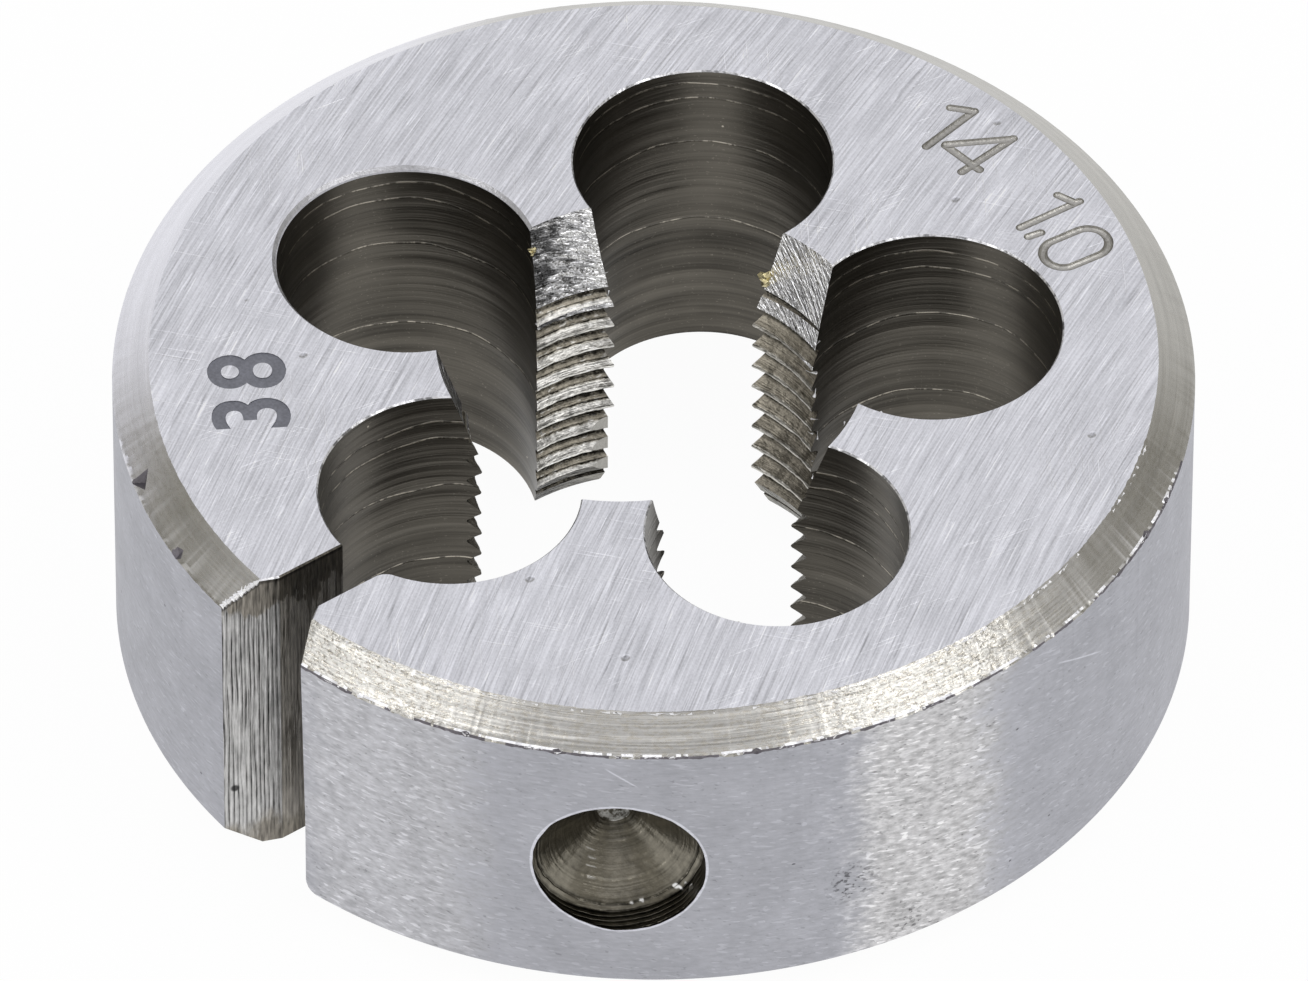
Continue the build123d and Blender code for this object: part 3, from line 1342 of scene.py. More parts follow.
@dataclass
class Blank:
    """The turned and ground disc, before it is drilled.

    Attributes:
        bench: Sizes and materials.
        segments: Sides round it.
        ragged: How far the chamfer's edges wander, in millimetres.
        lip: Width of the turned-up lip along the chamfer's lower edge.
        lip_height: How far the lip stands up.
        fringe: Width of the uneven band along its upper edge.
        stretches: Azimuths in degrees between which its edges are battered, and how much.
        calm: How much they are battered elsewhere.
    """

    bench: Bench
    segments: int = 1440
    ragged: float = 0.06
    lip: float = 0.07
    lip_height: float = 0.07
    fringe: float = 0.1
    stretches: tuple[Point, ...] = ((-88.0, 33.0, 1.0), (-124.0, -88.0, 0.4))
    calm: float = 0.1

    def build(self) -> Mesh:
        """Makes the disc with both chamfers.

        Returns:
            The disc.
        """
        s = self.bench.sizes
        piece = cylinder(s.outer_radius, 0.0, s.thickness, self.segments)
        middle = s.chamfer_width - 2 * self.lip - self.fringe
        for side in (1.0, -1.0):
            for width in (self.lip, self.lip, middle, self.fringe):
                with editing(piece, Pick.FACE, lambda face: side * face.normal.z > LEVEL and len(face.vertices) > 4):
                    bpy.ops.mesh.inset(thickness=width)
        for vertex in piece.data.vertices:
            top = vertex.co.z > s.thickness / 2
            inwards = s.outer_radius - vertex.co.xy.length
            fall = s.chamfer_height * max(0.0, 1.0 - inwards / s.chamfer_width)
            vertex.co.z += -fall if top else fall
        piece.data.update()
        dress(piece, self.bench.materials[Finish.GROUND_FACE])
        dress(piece, self.bench.materials[Finish.TURNED_CHAMFER], lambda face: UPRIGHT < abs(face.normal.z) < LEVEL)
        dress(piece, self.bench.materials[Finish.GROUND_RIM], lambda face: abs(face.normal.z) < UPRIGHT)
        # Painted shade: the dark line under the lip gets the chips' dark material.
        dress(piece, self.bench.materials[Finish.CHIPPED_AND_SHADE], self.painted_undercut_shade)
        dress(piece, self.bench.materials[Finish.BURR], self.bright_lip)
        self.roughen(piece)
        return piece

    def bright_lip(self, face: bpy.types.MeshPolygon) -> bool:
        """Says whether a face lies on the bright stretches of the lip.

        Args:
            face: The face.

        Returns:
            Whether it does.
        """
        s = self.bench.sizes
        at = face.center
        inwards = s.outer_radius - at.xy.length
        on_lip = self.lip < inwards < 2 * self.lip and at.z > s.thickness - s.chamfer_height
        return on_lip and self.battered(at) == 1.0 and noise.noise(at * 1.4) + 0.5 * noise.noise(at * 5.0) > -0.05

    def painted_undercut_shade(self, face: bpy.types.MeshPolygon) -> bool:
        """Says whether a face lies in the painted shadow under the lip, a dark line that comes and goes on the side
        rubbed most.

        Args:
            face: The face.

        Returns:
            Whether it does.
        """
        s = self.bench.sizes
        at = face.center
        outermost = s.outer_radius - self.lip < at.xy.length and at.z > s.thickness - s.chamfer_height
        return outermost and self.battered(at) == 1.0 and noise.noise(at * 0.9) + 0.4 * noise.noise(at * 3.0) > -0.22

    def roughen(self, piece: Mesh) -> None:
        """Lets the edges of the start face's chamfer wander, with a ragged lip of turned-up metal on the lower one.

        The rings that bound the chamfer's own cone stay where they are, so it has no flats.

        Args:
            piece: The disc.
        """
        s = self.bench.sizes
        for vertex in piece.data.vertices:
            at = vertex.co.copy()
            if at.z < s.thickness / 2:
                continue
            inwards = s.outer_radius - at.xy.length
            share = self.battered(at)
            wide = noise.noise(at * 0.35)
            fine = noise.noise(at * 2.7 + Vector((5.0, 1.0, 0.0)))
            sharp = noise.noise(at * 7.0 + Vector((2.0, 8.0, 0.0)))
            if inwards < 0.5 * self.lip:
                vertex.co.z += share * self.ragged * (0.5 * wide + 0.9 * fine + 0.8 * sharp)
            elif inwards < 1.5 * self.lip:
                rise = share * self.lip_height * max(0.0, 0.3 + fine + 1.2 * sharp)
                vertex.co.z += rise
                vertex.co.xy *= 1.0 + 0.8 * min(rise, self.lip) / s.outer_radius
            elif inwards > s.chamfer_width - 0.5 * self.fringe:
                vertex.co.xy *= 1.0 + share * self.ragged * (0.5 * fine + 0.6 * sharp) / s.outer_radius

    def battered(self, at: Vector) -> float:
        """Says how battered the chamfer's edges are at a place.

        Args:
            at: The place, in millimetres.

        Returns:
            A share from 0 to 1.
        """
        azimuth = math.degrees(math.atan2(at.y, at.x))
        for low, high, share in self.stretches:
            if low < azimuth < high:
                return share
        return self.calm


@dataclass
class Marks:
    """Numbers on the start face, and chips out of the chamfer's lower edge.

    Attributes:
        bench: Sizes and materials.
        groove: Radius of the stamp's rounded edge, in millimetres.
        lift: How far its middle stays above the face.
        strokes: Each stamped stroke, from end to end.
        ring: Middle of the stamped nought, its half width and the half length of its straight sides.
        ring_turn: How far the nought leans, in degrees.
        etched: The etched number.
        etched_place: Its middle.
        etched_turn: Direction in which it reads, in degrees.
        etched_height: Height of its digits.
        etched_depth: How deep it is etched.
        etched_font: Height of the font's digits as a share of its size, added weight, and spacing of the digits.
        etched_block: Half the height of the block that cuts the number.
        chips: Azimuth in degrees, distance up the slope, radius and number of sides of each chip.
        chip_depth: Depth of a chip, as a share of its radius.
    """

    bench: Bench
    groove: float = 0.18
    lift: float = 0.05
    strokes: tuple[tuple[Flat, Flat], ...] = (
        ((-0.98, 16.68), (-0.86, 14.2)),
        ((-1.68, 16.2), (-1.1, 16.6)),
        ((0.97, 16.7), (0.93, 14.2)),
        ((0.93, 16.62), (-0.45, 14.78)),
        ((-0.42, 14.72), (1.28, 14.72)),
        ((4.86, 16.15), (4.38, 13.72)),
        ((4.12, 15.82), (4.78, 15.98)),
        ((5.05, 14.05), (4.9, 13.6)),
    )
    ring: tuple[Flat, float, float] = ((6.46, 14.4), 0.72, 0.52)
    ring_turn: float = -13.0
    etched: str = "38"
    etched_place: Flat = (-8.27, -11.49)
    etched_turn: float = 141.0
    etched_height: float = 2.75
    etched_depth: float = 0.03
    etched_font: Point = (0.73, 0.07, 1.12)
    etched_block: float = 0.2
    chips: tuple[tuple[float, float, float, int], ...] = (
        (-116.6, 0.34, 0.5, 3),
        (-105.2, 0.14, 0.27, 5),
        (-63.9, 0.02, 0.14, 4),
        (-54.0, 0.03, 0.16, 5),
        (-33.0, 0.02, 0.17, 4),
        (21.2, 0.05, 0.2, 5),
        (26.8, 0.03, 0.14, 4),
    )
    chip_depth: float = 0.45

    def stroke(self, start: Flat, end: Flat) -> Mesh:
        """Makes the stamp of one straight stroke, a ball drawn out to a rod.

        Args:
            start: One end of its middle line.
            end: The other end.

        Returns:
            The rod, above the face by the lift.
        """
        run = Vector(end) - Vector(start)
        bpy.ops.mesh.primitive_uv_sphere_add(
            segments=20, ring_count=12, radius=self.groove, rotation=(0.0, math.pi / 2, 0.0)
        )
        rod = settle(bpy.context.object)
        with editing(rod, Pick.VERTEX, lambda vertex: vertex.co.x > -TOUCH):
            bpy.ops.transform.translate(value=(run.length, 0.0, 0.0))
        turn = math.degrees(math.atan2(run.y, run.x))
        return place(rod, turn, (*start, self.bench.sizes.thickness + self.lift))

    def nought(self) -> Mesh:
        """Makes the stamp of the nought, a ring drawn out to an oval.

        Returns:
            The oval, above the face by the lift.
        """
        centre, half, straight = self.ring
        bpy.ops.mesh.primitive_torus_add(
            major_segments=48, minor_segments=16, major_radius=half, minor_radius=self.groove
        )
        oval = bpy.context.object
        for side in (1.0, -1.0):
            with editing(oval, Pick.VERTEX, lambda vertex: side * vertex.co.y > (TOUCH if side < 0 else -TOUCH)):
                bpy.ops.transform.translate(value=(0.0, side * straight, 0.0))
        return place(oval, self.ring_turn, (*centre, self.bench.sizes.thickness + self.lift))

    def number(self) -> Mesh:
        """Makes the block of the etched number.

        Returns:
            The block, standing in the face by the etching's depth.
        """
        share, weight, spacing = self.etched_font
        bpy.ops.object.text_add()
        text = bpy.context.object
        text.data.body = self.etched
        text.data.align_x = "CENTER"
        text.data.align_y = "CENTER"
        text.data.resolution_u = 6
        text.data.size = self.etched_height / share
        text.data.offset = weight
        text.data.space_character = spacing
        text.data.extrude = self.etched_block
        alone(text)
        bpy.ops.object.convert(target="MESH")
        block = clean(bpy.context.object)
        height = self.bench.sizes.thickness - self.etched_depth + self.etched_block
        return place(block, self.etched_turn, (*self.etched_place, height))

    def chip(self, azimuth: float, up: float, size: float, sides: int) -> Mesh:
        """Makes the point that leaves one chip, square to the chamfer.

        Args:
            azimuth: Where it lies, in degrees.
            up: Its distance from the chamfer's lower edge, up the slope.
            size: Its radius on the surface.
            sides: Its number of sides.

        Returns:
            The point.
        """
        s = self.bench.sizes
        slope = math.atan2(s.chamfer_height, s.chamfer_width)
        deep = 2 * self.chip_depth * size
        bpy.ops.mesh.primitive_cone_add(vertices=sides, radius1=0.0, radius2=2 * size, depth=deep)
        point = bpy.context.object
        point.rotation_euler = (0.0, slope, 0.0)
        settle(point)
        reach = s.outer_radius - up * math.cos(slope)
        height = s.thickness - s.chamfer_height + up * math.sin(slope)
        angle = math.radians(azimuth)
        return place(point, azimuth, (reach * math.cos(angle), reach * math.sin(angle), height))

    def apply(self, blank: Mesh) -> Mesh:
        """Cuts the numbers and the chips into the disc.

        Args:
            blank: The disc.

        Returns:
            The same disc.
        """
        materials = self.bench.materials
        for start, end in self.strokes:
            cut(blank, dress(self.stroke(start, end), materials[Finish.ENGRAVED]))
        cut(blank, dress(self.nought(), materials[Finish.ENGRAVED]))
        cut(blank, dress(self.number(), materials[Finish.ETCHED]))
        for chip in self.chips:
            cut(blank, dress(self.chip(*chip), materials[Finish.CHIPPED_AND_SHADE]))
        return blank


@dataclass
class Cutters:
    """What cuts the disc.

    Attributes:
        bench: Sizes and materials.
        hole_segments: Sides of a chip hole.
        thread_steps: Steps in one turn of the thread.
        crescent: Depth of the crescent on one rim, and how far its countersink stands aside.
        crescent_hole: Azimuth of that chip hole, in degrees.
        crescent_azimuth: Where the crescent is widest, in degrees.
        notch_lean: How much wider one side of the notch is at the back face, as a share.
        notch_corner: Height at which that side's lower corner is rounded, and its radius.
        broken: Azimuth, depth, and lowest and highest place of the crests that have broken off.
        broken_radius: Radius of the break.
        broken_segments: Sides of the peg that makes it.
        corner_segments: Sides of the peg that rounds the slot's corner.
        first_land: Azimuth of the first land, in degrees.
        dimple_segments: Sides of the dimple.
        dimple_rings: Rings on the dimple's cone.
        dimple_ripple: How far a ring stands in or out, in millimetres.
    """

    bench: Bench
    hole_segments: int = 144
    thread_steps: int = 288
    crescent: Flat = (0.13, 0.11)
    crescent_hole: float = 198.0
    crescent_azimuth: float = 158.0
    notch_lean: float = 0.09
    notch_corner: Flat = (1.05, 0.5)
    broken: tuple[float, float, float, float] = (149.5, 0.27, 0.65, 3.65)
    broken_radius: float = 1.0
    broken_segments: int = 48
    corner_segments: int = 64
    first_land: float = 18.0
    dimple_segments: int = 128
    dimple_rings: int = 12
    dimple_ripple: float = 0.005

    def chip_holes(self) -> Mesh:
        """Makes the five drills of the chip holes, the first of them on the slot.

        Returns:
            The drills as one piece.
        """
        s = self.bench.sizes
        drills = []
        for index in range(s.hole_count):
            azimuth = math.radians(360 / s.hole_count * index - 90)
            drill = cylinder(s.hole_radius, self.bench.low, self.bench.high, self.hole_segments)
            self.bench.flare(drill, Finish.DRILLED_WALL, (s.hole_radius, s.hole_radius))
            centre = (s.hole_circle_radius * math.cos(azimuth), s.hole_circle_radius * math.sin(azimuth), 0.0)
            drills.append(place(drill, 0.0, centre))
        return join(drills)

    def scooped_edge(self) -> Mesh:
        """Makes the countersink that stands beside one chip hole and leaves a crescent on its rim.

        Returns:
            The countersink.
        """
        s = self.bench.sizes
        depth, beside = self.crescent
        foot = s.hole_radius - 0.02
        high = s.thickness + self.bench.overrun
        top = foot + (depth + self.bench.overrun)
        cone = cylinder(foot, s.thickness - depth, high, self.hole_segments, top)
        dress(cone, self.bench.materials[Finish.SCOOPED])
        angle = math.radians(self.crescent_hole)
        aside = math.radians(self.crescent_azimuth)
        spot = Vector((math.cos(angle), math.sin(angle))) * s.hole_circle_radius
        spot += Vector((math.cos(aside), math.sin(aside))) * beside
        return place(cone, 0.0, (spot.x, spot.y, 0.0))

    def tap(self) -> Mesh:
        """Makes the screw whose grooves are the die's teeth.

        Returns:
            The screw, closed at both ends.
        """
        s = self.bench.sizes
        turns = math.ceil(s.thickness / s.pitch) + 5
        crest = s.crest_height - s.crest_azimuth / 360 * s.pitch
        crest -= math.ceil(crest / s.pitch + 1.5) * s.pitch
        rise, aside = s.crest_shoulder
        outline = (
            (s.minor_radius, crest - s.crest_flat),
            (s.minor_radius, crest + s.crest_flat),
            (s.minor_radius + rise, crest + aside),
            (s.root_radius, crest + s.pitch / 2 - s.root_flat),
            (s.root_radius, crest + s.pitch / 2 + s.root_flat),
            (s.minor_radius + rise, crest + s.pitch - aside),
            (s.minor_radius, crest + s.pitch - s.crest_flat),
        )
        bpy.ops.mesh.primitive_circle_add(vertices=len(outline), radius=1.0, fill_type="NOTHING")
        piece = bpy.context.object
        for vertex, (radius, height) in zip(piece.data.vertices, outline):
            vertex.co = (radius, 0.0, height)
        last = len(outline) - 1
        with editing(piece, Pick.EDGE, lambda edge: set(edge.vertices) == {0, last}):
            bpy.ops.mesh.delete(type="EDGE")
        alone(piece)
        screw = piece.modifiers.new("turns", "SCREW")
        screw.axis = "Z"
        screw.screw_offset = s.pitch
        screw.iterations = turns
        screw.steps = screw.render_steps = self.thread_steps
        bpy.ops.object.modifier_apply(modifier=screw.name)
        clean(piece)
        for height, upper in ((-self.bench.overrun, False), (s.thickness + self.bench.overrun, True)):
            with editing(piece, Pick.FACE, everything):
                bpy.ops.mesh.bisect(
                    plane_co=(0.0, 0.0, height),
                    plane_no=(0.0, 0.0, 1.0),
                    use_fill=True,
                    clear_inner=not upper,
                    clear_outer=upper,
                )
        return dress(clean(piece), self.bench.materials[Finish.THREAD])

    def start_lead(self) -> Mesh:
        """Makes the relieved reamers of the start face, one for each land.

        Each cone stands a little aside, so its lead is deeper at the heel of its land than at the cutting edge.

        Returns:
            The reamers as one piece.
        """
        s = self.bench.sizes
        step = 360 / s.hole_count
        sectors = []
        for index, (aside, outwards) in enumerate(s.lead_relief):
            azimuth = self.first_land + step * index
            cone = self.cone(s.start_lead_radius, s.start_lead_length, Finish.LEAD_CONE)
            place(cone, azimuth, (0.0, 0.0, 0.0))
            angle = math.radians(azimuth)
            shift = Vector((math.cos(angle) * outwards, math.sin(angle) * outwards))
            shift += Vector((math.sin(angle), -math.cos(angle))) * aside
            place(cone, 0.0, (shift.x, shift.y, 0.0))
            reach = 2 * s.major_radius
            edges = [math.radians(azimuth + turn) for turn in (-step / 2.1, step / 2.1)]
            corners = [(reach * math.cos(edge), reach * math.sin(edge)) for edge in edges]
            sector = prism(((0.0, 0.0), *corners), 0.0, s.thickness + 2 * self.bench.overrun)
            dress(sector, self.bench.materials[Finish.LEAD_CONE])
            sectors.append(cut(cone, sector, "INTERSECT"))
        return join(sectors)

    def back_lead(self) -> Mesh:
        """Makes the reamer of the back face, whose short cone stays dark.

        Returns:
            The reamer.
        """
        s = self.bench.sizes
        cone = self.cone(s.back_lead_radius, s.back_lead_length, Finish.BACK_LEAD)
        cone.rotation_euler = (math.pi, 0.0, 0.0)
        cone.location = (0.0, 0.0, s.thickness)
        return settle(cone)

    def cone(self, rim: float, length: float, finish: Finish) -> Mesh:
        """Makes a cone reamer for the start face.

        Args:
            rim: Radius of the lead at the face.
            length: Depth at which it reaches the crests.
            finish: What it leaves.

        Returns:
            The reamer.
        """
        s = self.bench.sizes
        slope = (rim - s.minor_radius) / length
        inner = s.minor_radius - slope * self.bench.overrun
        outer = rim + slope * self.bench.overrun
        low, high = s.thickness - length - self.bench.overrun, s.thickness + self.bench.overrun
        return dress(cylinder(inner, low, high, self.thread_steps, outer), self.bench.materials[finish])

    def breakage(self) -> Mesh:
        """Makes the peg that takes the lowest crests off at one corner of a land.

        Returns:
            The peg.
        """
        azimuth, depth, low, high = self.broken
        angle = math.radians(azimuth)
        reach = self.bench.sizes.minor_radius + depth - self.broken_radius
        peg = cylinder(self.broken_radius, low, high, self.broken_segments)
        dress(peg, self.bench.materials[Finish.ENGRAVED])
        return place(peg, 0.0, (reach * math.cos(angle), reach * math.sin(angle), 0.0))

    def slot(self) -> Mesh:
        """Makes the saw of the adjusting slot, from the first chip hole into the notch.

        Returns:
            The saw.
        """
        s = self.bench.sizes
        inner, outer = s.notch_foot - s.hole_circle_radius, -s.slot_width / 2
        half = s.slot_width / 2
        outline = ((-half, outer), (half, outer), (half, inner), (-half, inner))
        piece = prism(outline, self.bench.low, self.bench.high)
        middle = (0.0, (inner + outer) / 2)
        self.bench.flare(piece, Finish.SLOT_WALL, (half, (inner - outer) / 2), middle)
        dress(piece, self.bench.materials[Finish.SLOT_WALL])
        return place(piece, -s.slot_skew, (0.0, -s.notch_foot, 0.0))

    def slot_corner(self) -> Mesh:
        """Makes what rounds the corner between the slot and its chip hole.

        Returns:
            The cutter.
        """
        s = self.bench.sizes
        skew = math.radians(s.slot_skew)
        along = Vector((math.sin(skew), math.cos(skew)))
        across = Vector((math.cos(skew), -math.sin(skew)))
        hole = Vector((0.0, -s.hole_circle_radius))
        foot = Vector((0.0, -s.notch_foot))

        def on_circle(aside: float, radius: float) -> Vector:
            """Finds where a line beside the slot leaves a circle round the chip hole.

            Args:
                aside: Distance of the line from the slot's middle.
                radius: Radius of the circle.

            Returns:
                The outer of the two points.
            """
            start = foot + across * aside - hole
            reach = start.dot(along)
            run = -reach - math.sqrt(reach**2 - start.length_squared + radius**2)
            return hole + start + along * run

        round_radius = s.slot_corner_radius
        centre = on_circle(s.slot_width / 2 + round_radius, s.hole_radius + round_radius)
        corner = on_circle(s.slot_width / 2, s.hole_radius)
        on_slot = centre - across * round_radius
        on_hole = hole + (centre - hole).normalized() * s.hole_radius
        inward = (hole - on_hole).normalized() * self.bench.overrun
        sideways = -across * self.bench.overrun
        outline = (on_slot, on_hole, on_hole + inward, corner + inward + sideways, on_slot + sideways)
        below, above = -self.bench.overrun, s.thickness + self.bench.overrun
        piece = prism([tuple(point) for point in outline], below, above)
        dress(piece, self.bench.materials[Finish.SLOT_WALL])
        peg = cylinder(round_radius, self.bench.low, self.bench.high, self.corner_segments)
        self.bench.flare(peg, Finish.SLOT_WALL, (round_radius, round_radius))
        rise = s.edge_break + self.bench.overrun
        for vertex in peg.data.vertices:
            if not self.bench.low - 1e-3 < vertex.co.z < self.bench.high + 1e-3:
                vertex.co.xy *= (round_radius - rise) / (round_radius + rise)
        return cut(piece, place(peg, 0.0, (*centre, 0.0)))

    def notch(self) -> Mesh:
        """Makes the V cutter that opens the slot to the outside.

        Returns:
            The cutter.
        """
        s = self.bench.sizes
        reach = s.outer_radius + 1.0 - s.notch_apex
        half = reach * s.notch_slope
        outline = ((-half, -reach), (half, -reach), (0.0, 0.0))
        piece = prism(outline, self.bench.low, self.bench.high)
        edge = math.hypot(half, reach)
        inner = half * reach / (half + edge)
        self.bench.flare(piece, Finish.NOTCH_FACE, (inner, inner), (0.0, inner - reach))
        height, radius = self.notch_corner
        turns = [math.radians(angle) for angle in range(0, 91, 15)]
        for turn in turns:
            with editing(piece, Pick.FACE, everything):
                level = height + radius * (1.0 - math.sin(turn))
                bpy.ops.mesh.bisect(plane_co=(0.0, 0.0, level), plane_no=(0.0, 0.0, 1.0))
        for vertex in piece.data.vertices:
            if vertex.co.x > 0.0:
                below = min(radius, max(0.0, height + radius - vertex.co.z))
                rounding = radius - math.sqrt(radius**2 - below**2)
                lean = self.notch_lean * (1.0 - vertex.co.z / s.thickness)
                vertex.co.x *= 1.0 + lean + rounding / (s.notch_width / 2)
        return place(piece, 0.0, (0.0, -s.notch_apex, 0.0))

    def dimple(self) -> Mesh:
        """Makes the drill of the holding screw's dimple.

        Returns:
            The drill.
        """
        s = self.bench.sizes
        base = s.dimple_mouth - s.dimple_wall
        piece = cylinder(s.dimple_radius, base, s.outer_radius + 1.0, self.dimple_segments)
        for vertex in piece.data.vertices:
            aside = Vector((vertex.co.x, vertex.co.y, 0.0))
            vertex.co.xy *= 1.0 + 0.014 * noise.noise(aside * 1.1) + 0.007 * noise.noise(aside * 3.0)
        rings = self.dimple_rings
        fall = s.dimple_wall - s.dimple_depth
        for ring in range(1, rings + 1):
            share = ring / rings
            ripple = self.dimple_ripple * (-1) ** ring if ring < rings else 0.0
            before = min((vertex.co for vertex in piece.data.vertices), key=lambda co: co.z).xy.length
            wanted = s.dimple_radius + share * (s.dimple_tip_radius - s.dimple_radius) + ripple
            grow(piece, fall / rings, (wanted / before, wanted / before))
        dress(piece, self.bench.materials[Finish.DIMPLE])
        piece.rotation_euler = (0.0, math.pi / 2, 0.0)
        settle(piece)
        direction = math.radians(s.dimple_direction)
        aside = Vector((math.sin(direction), -math.cos(direction))) * s.dimple_offset
        return place(piece, s.dimple_direction, (*aside, s.thickness / 2))


@dataclass
class Die:
    """The threading die.

    Attributes:
        bench: Sizes and materials.
    """

    bench: Bench

    def build(self) -> Mesh:
        """Cuts the die out of its disc and brings it to metres.

        Returns:
            The die.
        """
        piece = Marks(self.bench).apply(Blank(self.bench).build())
        piece.name = "die_body"
        cutters = Cutters(self.bench)
        for make in (
            cutters.chip_holes,
            cutters.scooped_edge,
            cutters.tap,
            cutters.start_lead,
            cutters.back_lead,
            cutters.breakage,
            cutters.slot,
            cutters.slot_corner,
            cutters.notch,
            cutters.dimple,
        ):
            cut(piece, make())
            log.info("cut with %s: %d faces", make.__name__, len(piece.data.polygons))
        self.wear(piece)
        clean(piece, 1e-5)
        piece.scale = (MM, MM, MM)
        settle(piece)
        bpy.ops.object.shade_smooth_by_angle(angle=math.radians(20))
        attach(piece, BODY)
        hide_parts(NODE)
        return piece

    def wear(self, piece: Mesh) -> None:
        """Wears the crests a little uneven.

        Args:
            piece: The die, in millimetres.
        """
        s = self.bench.sizes
        for vertex in piece.data.vertices:
            at = vertex.co
            radius = at.xy.length
            if not s.minor_radius - 0.05 < radius < s.minor_radius + 0.1 or not 0.3 < at.z < s.thickness - 0.5:
                continue
            loss = 0.05 * max(0.0, noise.noise(at * 1.7) + 0.25) + 0.03 * noise.noise(at * 6.0)
            vertex.co.xy *= (radius + max(0.0, loss)) / radius


@dataclass(frozen=True)
class EdgeSpot:
    """A place on the edge between a cutting land and a chip hole.

    Attributes:
        hole: Azimuth of the chip hole, in degrees.
        side: 1 on the side of larger azimuths, -1 on the other.
        radius: Distance from the die's axis, in millimetres.
        height: Height above the back face.
        size: Length of the sliver or radius of the chip there.
    """

    hole: float
    side: float
    radius: float
    height: float
    size: float

    def on(self, sizes: DieSizes) -> Vector:
        """Finds the place.

        Args:
            sizes: Sizes of the die.

        Returns:
            The place, in millimetres.
        """
        reach = sizes.hole_circle_radius
        cosine = (reach**2 + self.radius**2 - sizes.hole_radius**2) / (2 * reach * self.radius)
        azimuth = math.radians(self.hole) + self.side * math.acos(cosine)
        return Vector((self.radius * math.cos(azimuth), self.radius * math.sin(azimuth), self.height))


